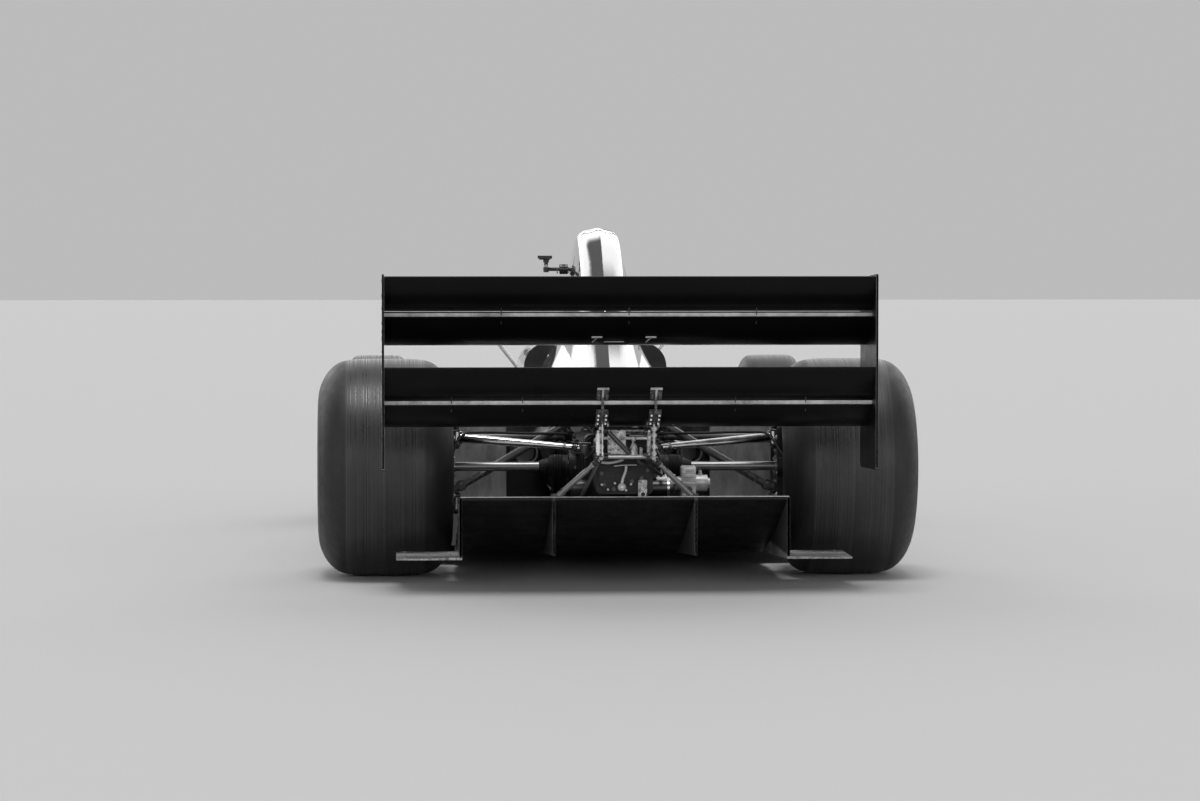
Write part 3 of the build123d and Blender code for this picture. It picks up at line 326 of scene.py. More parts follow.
def diffuser_finish(name, level, dusty):
    """Woven resin, lighter mottled grey on the upright plates, and far lighter on the foot plates as painted light
    where the tyre shades them.
    """
    f = Finish(name)
    x, y, z = f.parts(f.place())
    away = x.size()
    strake = f.ramp((away - STRAKE_X).size(), 0.0034, 0.0046, 1.0, 0.0)
    plate = f.ramp(away, 0.4655, 0.4668)
    upright = strake + plate
    weave = (((x + y) * 628.0).sine() * ((y - x) * 628.0).sine()) * 0.5 + 0.5
    # Painted light: the foot plates below the roof get five times more lightening, against the tyre's shadow on
    # them
    upright = upright + plate * f.ramp(z, 0.092, 0.098, 5.0, 0.0)
    # A mottle that sets how light the uprights are and how rough the resin is; dusty scales the uprights'
    # lightening
    dust = f.cloud(9.0, 6.0, 0.72, 0.35, 0.75, 0.45, 1.2) * f.cloud(60.0, 5.0, 0.7, 0.3, 0.7, 0.8, 1.15)
    return f.done(
        Base_Color=f.grey(upright * dust * dusty + weave * (level * 0.7) + level * 0.6),
        Roughness=f.ramp(dust, 0.4, 1.2, 0.36, 0.62), Metallic=0.0, Specular_IOR_Level=0.3,
        Normal=f.bump(f.noise(60.0, 2.0, 0.5), 0.0001)
    )


def mirror_gloss_finish(name, level):
    """A deep polished lacquer that mirrors what is round it, with fine polishing swirls."""
    f = Finish(name)
    cloud = f.noise(2.4, 4.0, 0.6)
    swirl = f.noise(420.0, 2.0, 0.5)
    return f.done(
        Base_Color=f.grey(f.ramp(cloud, 0.3, 0.7, level * 0.92, level * 1.06)),
        Roughness=f.cloud(11.0, 6.0, 0.7, 0.35, 0.75, 0.05, 0.1) + swirl * 0.012, Metallic=0.88, Coat_Weight=0.6,
        Coat_Roughness=0.03, Normal=f.bump(f.noise(36.0, 2.0, 0.5), 0.00004)
    )


def cast_finish(name, level, metallic=0.5, rough=0.52, grain=0.0006):
    """A rough coated casting with oily, dusty patches."""
    f = Finish(name)
    skin = f.noise(210.0, 6.0, 0.62)
    shade = f.cloud(14.0, 6.0, 0.7, 0.32, 0.7, level * 0.62, level * 1.45)
    oily = f.cloud(8.0, 4.0, 0.6, 0.52, 0.68)
    grainy = f.ramp(skin, 0.3, 0.7, rough - 0.12, rough + 0.14)
    return f.done(
        Base_Color=f.grey(shade * (1.0 - oily * 0.35)), Roughness=grainy - oily * 0.18, Metallic=metallic,
        Normal=f.bump(skin, grain)
    )


def rubber_finish(name, level, rough=0.62):
    """Plain black rubber, dusty in patches."""
    f = Finish(name)
    dust = f.cloud(26.0, 6.0, 0.7, 0.45, 0.78)
    smear = f.cloud(60.0, 4.0, 0.6, 0.3, 0.7, rough - 0.1, rough + 0.12)
    return f.done(
        Base_Color=f.grey(dust * (level * 1.2) + level), Roughness=smear, Metallic=0.0, Specular_IOR_Level=0.3,
        Normal=f.bump(f.noise(320.0, 3.0, 0.6), 0.0002)
    )


def tyre_finish(name, centre, worn_half, radius):
    """A slick: a rubbed tread band with hair lines round it, dark shoulders and ringed sidewalls."""
    f = Finish(name)
    x, y, z = f.parts(f.place(centre))
    out = x.size()
    reach = (y * y + z * z).root()
    hair = f.line(x, 260.0, 5.0)
    broad = f.line(x, 38.0)
    patch = f.noise(34.0, 5.0, 0.7, centre=centre)
    long_patch = f.noise(7.0, 5.0, 0.7, (3.0, 0.6, 0.6), centre)
    specks = f.ramp(f.noise(300.0, 3.0, 0.65, centre=centre), 0.6, 0.74)
    tread = f.ramp(out, worn_half, worn_half + 0.006, 1.0, 0.0)
    wall = f.ramp(reach, radius - 0.085, radius - 0.045, 1.0, 0.0)
    worn = f.ramp(hair, 0.3, 0.72, 0.007, 0.044) * f.ramp(broad, 0.3, 0.7, 0.72, 1.3)
    worn = worn * f.ramp(patch, 0.3, 0.75, 0.86, 1.18) * f.ramp(long_patch, 0.3, 0.7, 0.8, 1.25) + specks * 0.01
    shoulder = f.ramp(hair, 0.35, 0.8, 0.006, 0.014)
    side = f.ramp((reach * 900.0).sine(), 0.86, 1.0, 0.008, 0.016)
    shade = tread * worn + (1.0 - tread) * ((1.0 - wall) * shoulder + wall * side)
    rough = tread * f.ramp(hair, 0.3, 0.7, 0.28, 0.6) + (1.0 - tread) * f.ramp(patch, 0.3, 0.7, 0.46, 0.64)
    return f.done(
        Base_Color=f.grey(shade), Roughness=rough, Metallic=0.0, Specular_IOR_Level=0.55,
        Normal=f.bump(hair * 0.35 + specks * 0.5 + patch * 0.25, 0.0006)
    )


def cloth_finish(name, level, threads=3100.0):
    """Woven belt or pad cloth."""
    f = Finish(name)
    x, y, z = f.parts(f.place())
    weave = ((x + z) * threads).sine() * ((y - z) * threads).sine()
    shade = f.ramp(weave, -0.8, 0.8, level * 0.6, level * 1.3) * f.ramp(f.noise(30.0), 0.3, 0.7, 0.85, 1.12)
    return f.done(
        Base_Color=f.grey(shade), Roughness=f.ramp(f.noise(80.0), 0.3, 0.7, 0.78, 0.92), Metallic=0.0,
        Sheen_Weight=0.25, Normal=f.bump(weave, 0.0003)
    )


def glass_finish(name, level, alpha, rough):
    """A thin tinted sheet."""
    f = Finish(name)
    smear = f.cloud(12.0, 5.0, 0.7, 0.45, 0.8)
    return f.done(
        Base_Color=f.grey(smear * 0.05 + level), Roughness=smear * 0.12 + rough, Metallic=0.0,
        Alpha=smear * 0.1 + alpha, Coat_Weight=0.6
    )


def core_finish(name, level):
    """A cooler's core: fine upright fins between level tubes, with painted shade darkening the gaps between the
    fins.
    """
    f = Finish(name)
    x, _, z = f.parts(f.place())
    # Upright stripes whose dark ends are painted shade in the gaps between the fins
    fins = (x * 1900.0).sine()
    tubes = f.ramp((z * 520.0).sine(), 0.5, 0.9)
    return f.done(
        Base_Color=f.grey(f.ramp(fins, -0.5, 0.9, level * 0.2, level) * (1.0 - tubes) + tubes * (level * 1.6)),
        Roughness=f.ramp(f.noise(40.0), 0.3, 0.7, 0.4, 0.6), Metallic=0.6, Normal=f.bump(fins * 0.4 + tubes, 0.0008)
    )


MATERIALS = {}


def material(name):
    """A finish by its name."""
    return MATERIALS[name]


# Meshes


def square_to(axis):
    """Two directions square to an axis and to each other."""
    axis = axis.normalized()
    helper = Z if abs(axis.z) < 0.9 else X
    side = helper.cross(axis).normalized()
    return side, axis.cross(side)


class Shape:
    """A mesh built from turned, swept and flat solids, each with its own finish."""

    def __init__(self, finish):
        self.mesh = bmesh.new()
        self.finishes = []
        self.of(finish)

    def of(self, finish):
        """Sets the finish of what is added next."""
        if finish not in self.finishes:
            self.finishes.append(finish)
        self.slot = self.finishes.index(finish)
        return self

    def face(self, corners):
        made = self.mesh.faces.new(corners)
        made.material_index = self.slot
        made.smooth = True

    def skin(self, rings, closed=False):
        """Joins rings of points, each as long as the next or a single pole. Closed joins the last to the first."""
        loops = [[self.mesh.verts.new(p) for p in ring] for ring in rings]
        pairs = list(zip(loops, loops[1:]))
        if closed:
            pairs.append((loops[-1], loops[0]))
        for near, far in pairs:
            count = max(len(near), len(far))
            for k in range(count):
                j = (k + 1) % count
                corners = [near[k % len(near)], near[j % len(near)], far[j % len(far)], far[k % len(far)]]
                self.face(list(dict.fromkeys(corners)))
        if not closed:
            for loop in (loops[0], loops[-1]):
                if len(loop) > 2:
                    self.face(loop)
        return self

    def turned(self, origin, axis, outline, steps=24, closed=False):
        """Turns an outline of (distance along the axis, radius) round an axis."""
        side, up = square_to(axis)
        axis = axis.normalized()
        rings = []
        for along, radius in outline:
            centre = origin + axis * along
            if radius < 1e-6:
                rings.append([centre])
                continue
            angles = [2 * math.pi * k / steps for k in range(steps)]
            rings.append([centre + (side * math.cos(a) + up * math.sin(a)) * radius for a in angles])
        return self.skin(rings, closed)

    def bar(self, start, end, radius, sides=12, end_radius=None):
        """A round bar between two points."""
        axis = end - start
        far = radius if end_radius is None else end_radius
        return self.turned(start, axis, ((0, 0), (0, radius), (axis.length, far), (axis.length, 0)), sides)

    def disc(self, origin, axis, radius, depth, steps):
        """A flat disc that stands on origin along an axis."""
        return self.turned(origin, axis, ((0, 0), (0, radius), (depth, radius), (depth, 0)), steps)

    def ring(self, origin, axis, along, inner, outer, depth, steps=24):
        """A flat ring round an axis, from along to along + depth."""
        end = along + depth
        outline = ((along, inner), (along, outer), (end, outer), (end, inner))
        return self.turned(origin, axis, outline, steps, closed=True)

    def block(self, centre, size, bevel=0.001, along=None, up=None):
        """A block with eased edges. Its x and z may be turned to along and up."""
        x_dir = (along or X).normalized()
        z_dir = (up or Z).normalized()
        y_dir = z_dir.cross(x_dir).normalized()
        z_dir = x_dir.cross(y_dir)
        half = Vector(size) / 2
        ease = min(bevel, min(half) * 0.8)
        corners = []
        for sx in (-1, 1):
            for sy in (-1, 1):
                for sz in (-1, 1):
                    full = Vector((sx * half.x, sy * half.y, sz * half.z))
                    for i in range(3):
                        p = full.copy()
                        for j in range(3):
                            if j != i:
                                p[j] -= ease * (1 if p[j] > 0 else -1)
                        corners.append(centre + x_dir * p.x + y_dir * p.y + z_dir * p.z)
        verts = [self.mesh.verts.new(p) for p in corners]
        made = bmesh.ops.convex_hull(self.mesh, input=verts)
        for item in made["geom"]:
            if isinstance(item, bmesh.types.BMFace):
                item.material_index = self.slot
                item.smooth = True
        return self

    def strip(self, near, far, wide, spare, thick, bevel=0.001):
        """A flat strip from near to far and spare beyond, its width across the car."""
        run = far - near
        return self.block((near + far) / 2, (wide, run.length + spare, thick), bevel, X, X.cross(run))

    def prism(self, outline, offset):
        """A flat outline of points, moved through offset."""
        offset = Vector(offset)
        return self.skin([[Vector(p) for p in outline], [Vector(p) + offset for p in outline]])

    def swept(self, path, radius):
        """A round tube along points, with its turns shared evenly."""
        sides = 10
        path = [Vector(p) for p in path]
        tangents = []
        for k in range(len(path)):
            before = path[k] - path[max(k - 1, 0)]
            after = path[min(k + 1, len(path) - 1)] - path[k]
            tangents.append((before.normalized() + after.normalized()).normalized())
        side, _ = square_to(tangents[0])
        rings = [[path[0]]]
        for p, t in zip(path, tangents):
            side = (side - t * side.dot(t)).normalized()
            up = t.cross(side)
            angles = [2 * math.pi * k / sides for k in range(sides)]
            rings.append([p + (side * math.cos(a) + up * math.sin(a)) * radius for a in angles])
        rings.append([path[-1]])
        return self.skin(rings)

    def flipped(self):
        """Adds the mirror image of everything made so far, across the centre plane."""
        copy = bmesh.ops.duplicate(self.mesh, geom=self.mesh.verts[:] + self.mesh.edges[:] + self.mesh.faces[:])
        for item in copy["geom"]:
            if isinstance(item, bmesh.types.BMVert):
                item.co.x = -item.co.x
        return self

    def done(self, name, body, replaces=(), slot=None, angle=38.0):
        """Makes the object, with its faces outwards, and puts it on a body."""
        bmesh.ops.remove_doubles(self.mesh, verts=self.mesh.verts[:], dist=1e-7)
        bmesh.ops.recalc_face_normals(self.mesh, faces=self.mesh.faces[:])
        data = bpy.data.meshes.new(name)
        self.mesh.to_mesh(data)
        self.mesh.free()
        data.set_sharp_from_angle(angle=math.radians(angle))
        return placed(name, data, self.finishes, body, replaces)


def placed(name, data, finishes, body, replaces=()):
    """Puts a finished mesh in the scene on a body, with its finishes."""
    piece = bpy.data.objects.new(name, data)
    bpy.context.scene.collection.objects.link(piece)
    # Clearing the list also resets each face's slot, so a new mesh is left alone
    if data.materials:
        data.materials.clear()
    for finish in finishes:
        data.materials.append(material(finish))
    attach(piece, body)
    if replaces:
        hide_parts(*replaces)
    return piece


def smooth_path(points, steps=6):
    """Points on a smooth curve through the given points."""
    pts = [Vector(p) for p in points]
    pts = [pts[0] * 2 - pts[1], *pts, pts[-1] * 2 - pts[-2]]
    path = []
    for k in range(1, len(pts) - 2):
        a, b, c, d = pts[k - 1 : k + 3]
        for i in range(steps):
            t = i / steps
            path.append(
                0.5 * (2 * b + (c - a) * t + (2 * a - 5 * b + 4 * c - d) * t * t + (3 * b - a - 3 * c + d) * t**3)
            )
    path.append(pts[-2])
    return path


# Repeats


class Pattern(Graph):
    """A Geometry Nodes tree with named inputs, ended by Realize Instances and Set Material."""

    def __init__(self, name, **sizes):
        super().__init__(bpy.data.node_groups.new(name, "GeometryNodeTree"))
        self.faces = self.tree.interface
        self.faces.new_socket("Geometry", in_out="INPUT", socket_type="NodeSocketGeometry")
        for label, value in sizes.items():
            kind = "NodeSocketInt" if isinstance(value, int) else "NodeSocketFloat"
            entry = self.faces.new_socket(label.replace("_", " "), in_out="INPUT", socket_type=kind)
            entry.default_value = value
        self.faces.new_socket("Finish", in_out="INPUT", socket_type="NodeSocketMaterial")
        self.faces.new_socket("Geometry", in_out="OUTPUT", socket_type="NodeSocketGeometry")
        self.entry = self.tree.nodes.new("NodeGroupInput")
        self.exit = self.tree.nodes.new("NodeGroupOutput")

    def size(self, label):
        """One of the named inputs."""
        return Socket(self.tree, self.entry.outputs[label])

    def copies(self, points, instance, **turn):
        """Copies of an instance on points, made real."""
        spots = self.node("GeometryNodeInstanceOnPoints", Points=points, Instance=instance, **turn)
        return self.node("GeometryNodeRealizeInstances", Geometry=spots)

    def circle(self):
        """The points of a ring, by the inputs for its count and its radius."""
        sizes = {"Vertices": self.size("Count"), "Radius": self.size("Ring radius")}
        return self.node("GeometryNodeMeshCircle", {"fill_type": "NONE"}, **sizes)

    def profile(self, sides, label):
        """A round profile for a wire or a hose, by the input for its radius."""
        kind = "GeometryNodeCurvePrimitiveCircle"
        return self.node(kind, {"mode": "RADIUS"}, Resolution=sides, Radius=self.size(label))

    def on_points(self, instance):
        """Ends the tree with a copy on each point, its Z along the direction kept there."""
        kept = self.node("GeometryNodeInputNamedAttribute", {"data_type": "FLOAT_VECTOR"}, Name="facing")
        turn = self.node("FunctionNodeAlignRotationToVector", {"axis": "Z"}, Vector=kept)
        self.end(self.copies(self.size("Geometry"), instance, Rotation=turn))

    def end(self, geometry):
        """Ends the tree with the finish."""
        painted = self.node("GeometryNodeSetMaterial", Geometry=geometry, Material=self.size("Finish"))
        plug(self.tree, self.exit.inputs[0], painted)

    def made(self, name, body, source, finish, angle=38.0, **sizes):
        """Runs the tree on a source mesh and keeps the result as one plain mesh on a body."""
        carrier = bpy.data.objects.new(name + "_source", source)
        bpy.context.scene.collection.objects.link(carrier)
        modifier = carrier.modifiers.new("pattern", "NODES")
        modifier.node_group = self.tree
        given = {label.replace("_", " "): value for label, value in sizes.items()}
        given["Finish"] = material(finish)
        for item in self.faces.items_tree:
            if item.item_type == "SOCKET" and item.in_out == "INPUT" and item.name in given:
                modifier[item.identifier] = given[item.name]
        graph = bpy.context.evaluated_depsgraph_get()
        data = bpy.data.meshes.new_from_object(carrier.evaluated_get(graph), depsgraph=graph)
        carrier.modifiers.clear()
        bpy.data.objects.remove(carrier)
        if not data.polygons:
            raise RuntimeError(name + " came out empty")
        data.name = name
        data.shade_smooth()
        data.set_sharp_from_angle(angle=math.radians(angle))
        return placed(name, data, [finish], body)


def points_mesh(name, places):
    """A mesh of loose points, each with the direction that it faces."""
    data = bpy.data.meshes.new(name)
    data.from_pydata([tuple(p) for p, _ in places], [], [])
    kept = data.attributes.new("facing", "FLOAT_VECTOR", "POINT")
    for item, (_, facing) in zip(kept.data, places):
        item.vector = Vector(facing).normalized()
    return data


def line_mesh(name, paths):
    """A mesh of open lines through points."""
    data = bpy.data.meshes.new(name)
    points, edges = [], []
    for path in paths:
        edges += [(len(points) + k, len(points) + k + 1) for k in range(len(path) - 1)]
        points += [tuple(p) for p in path]
    data.from_pydata(points, edges, [])
    return data


def screw_pattern():
    """Round screw heads with a sunk socket, one on each point."""
    p = Pattern("screw_heads", Head_radius=0.005, Head_height=0.004, Socket=0.55, Sides=8)
    head = p.node(
        "GeometryNodeMeshCylinder", {"fill_type": "NGON"}, Vertices=p.size("Sides"), Radius=p.size("Head radius"),
        Depth=p.size("Head height")
    )
    up = p.node("ShaderNodeSeparateXYZ", output=2, sockets={0: p.node("GeometryNodeInputNormal")})
    top = p.node("FunctionNodeCompare", {"operation": "GREATER_THAN"}, sockets={0: up, 1: 0.9})
    flat = p.node("GeometryNodeExtrudeMesh", {"mode": "FACES"}, Mesh=head, Selection=top, Offset_Scale=0.0)
    mark = Socket(p.tree, flat.out.node.outputs["Top"])
    share = p.size("Socket")
    small = p.node("GeometryNodeScaleElements", {"domain": "FACE"}, Geometry=flat, Selection=mark, Scale=share)
    deep = p.size("Head height") * -0.5
    sunk = p.node("GeometryNodeExtrudeMesh", {"mode": "FACES"}, Mesh=small, Selection=mark, Offset_Scale=deep)
    p.on_points(sunk)
    return p


def ring_pattern():
    """A ring of eased studs round each point, square to the direction that it faces."""
    p = Pattern("stud_ring", Count=12, Ring_radius=0.06, Stud_radius=0.004, Stud_height=0.004, Sides=8, Turn=0.0)
    circle = p.circle()
    stud = p.node(
        "GeometryNodeMeshCone", {"fill_type": "NGON"}, Vertices=p.size("Sides"),
        Radius_Top=p.size("Stud radius") * 0.82, Radius_Bottom=p.size("Stud radius"), Depth=p.size("Stud height")
    )
    ring = p.copies(circle, stud)
    turn = p.node("ShaderNodeCombineXYZ", Z=p.size("Turn"))
    turned = p.node("GeometryNodeTransform", Geometry=ring, Rotation=turn)
    p.on_points(turned)
    return p


def spoke_pattern():
    """A ring of blocks that point away from the middle, as vents, teeth or fins."""
    p = Pattern("block_ring", Count=24, Ring_radius=0.1, Reach=0.01, Width=0.004, Height=0.01)
    circle = p.circle()
    size = p.node("ShaderNodeCombineXYZ", X=p.size("Reach"), Y=p.size("Width"), Z=p.size("Height"))
    block = p.node("GeometryNodeMeshCube", Size=size)
    place = p.node("GeometryNodeInputPosition")
    outward = p.node("FunctionNodeAlignRotationToVector", {"axis": "X", "pivot_axis": "Z"}, Vector=place)
    p.on_points(p.copies(circle, block, Rotation=outward))
    return p


def coil_pattern():
    """A coil spring that stands on each point along the direction that it faces."""
    p = Pattern("coil_spring", Turns=7.0, Coil_radius=0.022, Wire_radius=0.0035, Length=0.15)
    spiral = p.node(
        "GeometryNodeCurveSpiral", Resolution=20, Rotations=p.size("Turns"), Start_Radius=p.size("Coil radius"),
        End_Radius=p.size("Coil radius"), Height=p.size("Length")
    )
    wire = p.profile(8, "Wire radius")
    coil = p.node("GeometryNodeCurveToMesh", Curve=spiral, Profile_Curve=wire, Fill_Caps=True)
    p.on_points(coil)
    return p


def hose_pattern():
    """A round hose or pipe along each line, rounded through its points."""
    p = Pattern("hose", Radius=0.005, Sides=10, Step=0.006)
    lines = p.node("GeometryNodeMeshToCurve", Mesh=p.size("Geometry"))
    smooth = p.node("GeometryNodeCurveSplineType", {"spline_type": "CATMULL_ROM"}, Curve=lines)
    even = p.node("GeometryNodeResampleCurve", {"mode": "LENGTH"}, Curve=smooth, Length=p.size("Step"))
    profile = p.profile(p.size("Sides"), "Radius")
    p.end(p.node("GeometryNodeCurveToMesh", Curve=even, Profile_Curve=profile, Fill_Caps=True))
    return p


def slat_pattern():
    """A row of slats from each point along the direction that it faces."""
    p = Pattern("slat_row", Count=20, Pitch=0.006, Across=0.002, Depth=0.01, Height=0.1)
    offset = p.node("ShaderNodeCombineXYZ", Z=p.size("Pitch"))
    row = p.node("GeometryNodeMeshLine", Count=p.size("Count"), Offset=offset)
    size = p.node("ShaderNodeCombineXYZ", X=p.size("Height"), Y=p.size("Depth"), Z=p.size("Across"))
    slat = p.node("GeometryNodeMeshCube", Size=size)
    p.on_points(p.copies(row, slat))
    return p


def stitch_pattern():
    """Short stitches end to end along each line."""
    p = Pattern("stitches", Pitch=0.006, Thread=0.0006, Stitch=0.0042)
    lines = p.node("GeometryNodeMeshToCurve", Mesh=p.size("Geometry"))
    spots = p.node("GeometryNodeCurveToPoints", {"mode": "LENGTH"}, Curve=lines, Length=p.size("Pitch"))
    turn = Socket(p.tree, spots.out.node.outputs["Rotation"])
    sizes = {"Radius": p.size("Thread"), "Depth": p.size("Stitch")}
    thread = p.node("GeometryNodeMeshCylinder", {"fill_type": "NGON"}, Vertices=6, **sizes)
    p.end(p.copies(spots, thread, Rotation=turn))
    return p


PATTERNS = {}


def pattern(kind):
    """A pattern by its name, built the first time that it is used."""
    makers = {
        "screws": screw_pattern, "studs": ring_pattern, "blocks": spoke_pattern, "coils": coil_pattern,
        "hoses": hose_pattern, "slats": slat_pattern, "stitches": stitch_pattern
    }
    if kind not in PATTERNS:
        PATTERNS[kind] = makers[kind]()
    return PATTERNS[kind]


def repeated(kind, name, body, finish, places, **sizes):
    """Runs a pattern of points on a body. A place is a point and the direction that it faces."""
    return pattern(kind).made(name, body, points_mesh(name, places), finish, **sizes)


def drawn(kind, name, body, finish, paths, **sizes):
    """Runs a pattern of lines on a body."""
    return pattern(kind).made(name, body, line_mesh(name, paths), finish, **sizes)


def both(places):
    """Places on the left with their mirror images on the right."""
    flip = Matrix.Scale(-1, 3, X)
    return [(Vector(p), Vector(d)) for p, d in places] + [(flip @ Vector(p), flip @ Vector(d)) for p, d in places]


def both_paths(paths):
    """Lines on the left with their mirror images on the right."""
    return [*paths, *[[Vector((-p[0], p[1], p[2])) for p in path] for path in paths]]


SURFACES = {}


def resting(point, direction, *nodes):
    """Where a line from a point first meets the named nodes, so that a fitting seats on them."""
    best = None
    for name in nodes:
        if name not in SURFACES:
            data = NODES[name].data
            faces = [tuple(polygon.vertices) for polygon in data.polygons]
            SURFACES[name] = BVHTree.FromPolygons([v.co for v in data.vertices], faces)
        place, normal, _, reach = SURFACES[name].ray_cast(Vector(point), Vector(direction).normalized())
        if place is not None and (best is None or reach < best[2]):
            best = (place, normal, reach)
    if best is None:
        raise RuntimeError("nothing of " + ", ".join(nodes) + " lies that way")
    return best[0], best[1]


# Sizes and tones that a user would change


def tone(name, about, level):
    """A brightness between black and white."""
    return bpy.props.FloatProperty(name=name, description=about, default=level, min=0.0, max=1.0, subtype="FACTOR")


def size(name, about, metres):
    """A length."""
    return bpy.props.FloatProperty(
        name=name, description=about, default=metres, min=0.0, precision=4, subtype="DISTANCE", unit="LENGTH"
    )


def strength(name, about, level):
    """How strong a light is."""
    return bpy.props.FloatProperty(name=name, description=about, default=level, min=0.0, soft_max=6.0)


def count(name, about, number):
    """A number of copies."""
    return bpy.props.IntProperty(name=name, description=about, default=number, min=3)


class CarTones(bpy.types.PropertyGroup):
    """How bright the car's finishes are."""

    cover: tone("Engine cover", "Brightness of the lacquered engine cover", 0.5)
    body: tone("Body", "Brightness of the tub, nose and side pods", 0.035)
    # Pod ends: how bright the painted reflection on the pods' rear ends is
    pod_end: tone("Pod ends", "Brightness of the bare panels at the rear of the pods", 0.42)
    wing: tone("Wings", "Brightness of the woven resin of the wings", 0.004)
    arms: tone("Suspension arms", "Brightness of the plated suspension arms", 0.8)
    plate: tone("Wing posts", "Brightness of the machined posts and plates of the wing", 0.2)
    stay: tone("Wing stays", "Brightness of the tubes under the wing's posts", 0.42)
    alloy: tone("Bare castings", "Brightness of the small bare castings at the tail", 0.55)
    casting: tone("Gearbox", "Brightness of the gearbox casting", 0.022)


class CarFasteners(bpy.types.PropertyGroup):
    """Sizes of the screws, bolts and rivets."""

    screw: size("Screw head", "Radius of a panel screw's head", 0.0045)
    bolt: size("Bolt head", "Radius of a bolt's head", 0.0058)
    rivet: size("Rivet", "Radius of a rivet's head", 0.0028)
    stud: size("Cover stud", "Radius of a quarter turn stud on the covers", 0.008)


class CarWheels(bpy.types.PropertyGroup):
    """Counts and sizes on the wheels, discs and driveshafts."""

    rim_bolts: count("Rim bolts", "Bolts round the joint of each rim", 20)
    disc_vents: count("Disc vents", "Air slots round each brake disc", 36)
    drillings: count("Disc drillings", "Holes in each ring of a brake disc", 20)
    boot_folds: count("Boot folds", "Folds of each driveshaft boot", 5)
    turn_steps: count("Tyre steps", "Flats round each tyre", 128)


class CarCockpit(bpy.types.PropertyGroup):
    """Sizes in the cockpit."""

    belt: size("Belt width", "Width of the shoulder and lap belts", 0.06)
    edging: size("Edging", "Radius of the padded roll round the cockpit", 0.008)


class CarStudio(bpy.types.PropertyGroup):
    """The floor and the light."""

    floor: tone("Floor", "Brightness of the studio floor", 0.5)
    surround: tone("Surround", "Brightness of the studio near the horizon", 0.5)
    ceiling: tone("Ceiling", "Brightness of the studio overhead", 0.1)
    panels: strength("Panels", "Strength of the soft panel ahead", 1.7)
    behind: strength("Behind", "Strength of the soft panel behind", 1.2)
    skylight: strength("Skylight", "Strength of the broad light from above", 1.6)


class MakeFinishes(bpy.types.Operator):
    """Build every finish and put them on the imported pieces"""

    bl_idname = "car.make_finishes"
    bl_label = "Finishes"

    def execute(self, context):
        t = context.scene.car_tones
        rear_r, front_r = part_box("tyre_rear_left")[1][2] / 2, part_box("tyre_front_left")[1][2] / 2
        made = (
            gloss_finish("body_gloss", t.body, 0.12, 0.24, 1.0, 0.02),
            mirror_gloss_finish("cover_gloss", t.cover),
            pod_finish("pod_gloss", t.body, t.pod_end),
            mirror_pod_finish("mirror_pod", 0.02, 0.7),
            weave_finish("carbon_gloss", t.wing, 0.03, 0.32, 0.1),
            weave_finish("carbon_matt", t.wing * 1.5, 0.0, 0.46, 0.2),
            diffuser_finish("diffuser_panel", t.wing * 1.4, 0.085),
            pillar_finish("pillar_steel", t.plate, 0.9, t.stay),
            pillar_finish("mottled_alloy", t.alloy * 0.75, 0.25),
            cast_finish("light_alloy", t.alloy, 0.15, 0.4, 0.0003),
            cast_finish("pale_alloy", t.alloy * 1.4, 0.15, 0.4, 0.0003),
            rear_arm_finish("rear_arm_steel", t.arms),
            metal_finish("edge_alloy", 0.3, 0.3, 0.48, (1.0, 6.0, 6.0)),
            metal_finish("bright_edge", 0.75, 0.22, 0.38, (1.0, 6.0, 6.0)),
            metal_finish("rim", 0.16, 0.26, 0.42),
            metal_finish("hub_steel", 0.3, 0.28, 0.45),
            metal_finish("arm_steel", t.arms, 0.08, 0.2, (8.0, 1.0, 8.0), 0.00002),
            metal_finish("bolt_steel", 0.55, 0.22, 0.4),
            metal_finish("dark_steel", 0.1, 0.3, 0.5),
            cast_finish("upright_alloy", 0.04, 0.7, 0.45),
            cast_finish("gearbox_cast", t.casting, 0.5, 0.5, 0.0012),
            cast_finish("engine_cast", 0.1, 0.7, 0.48),
            metal_finish("exhaust_steel", 0.28, 0.3, 0.5),
            core_finish("radiator_core", 0.1),
            cast_finish("bracket_alloy", 0.06, 0.5, 0.36, 0.0002),
            cast_finish("seat_shell", 0.03, 0.0, 0.62, 0.0004),
            rubber_finish("steering_grip", 0.022, 0.55),
            glass_finish("screen", 0.04, 0.42, 0.05),
            metal_finish("mirror_glass", 0.86, 0.02, 0.05, grain=0.0),
            rubber_finish("rubber", 0.014),
            cloth_finish("belt", 0.14),
            cloth_finish("pad", 0.045, 2200.0),
            tyre_finish("tyre_rear_left", tuple(REAR), 0.113, rear_r),
            tyre_finish("tyre_rear_right", (-REAR.x, REAR.y, REAR.z), 0.113, rear_r),
            tyre_finish("tyre_front_left", tuple(FRONT), 0.078, front_r),
            tyre_finish("tyre_front_right", (-FRONT.x, FRONT.y, FRONT.z), 0.078, front_r),
        )
        MATERIALS.update({finish.name: finish for finish in made})
        own = {
            "engine_cover": "cover_gloss",
            "mirrors": "mirror_pod",
            "diffuser": "diffuser_panel",
            "side_pod_left": "pod_gloss",
            "side_pod_right": "pod_gloss",
            "shift_actuator": "light_alloy",
            "wing_pillars": "pillar_steel",
            "rear_arms_left": "rear_arm_steel",
            "rear_arms_right": "rear_arm_steel",
        }
        for entry in frame["record"]["subparts"]:
            name = entry["node"]
            finish = name if name.startswith("tyre_") else own.get(name, entry["material_slot"])
            NODES[name].data.materials.clear()
            NODES[name].data.materials.append(material(finish))
        return {"FINISHED"}


def wheel_list():
    """Each wheel's label, body, centre and outward direction."""
    for axle, place in (("rear", REAR), ("front", FRONT)):
        for side, sign in SIDES:
            centre = Vector((sign * place.x, place.y, place.z))
            yield axle, f"{axle}_{side}", f"wheel_{axle}_{side}", centre, X * sign


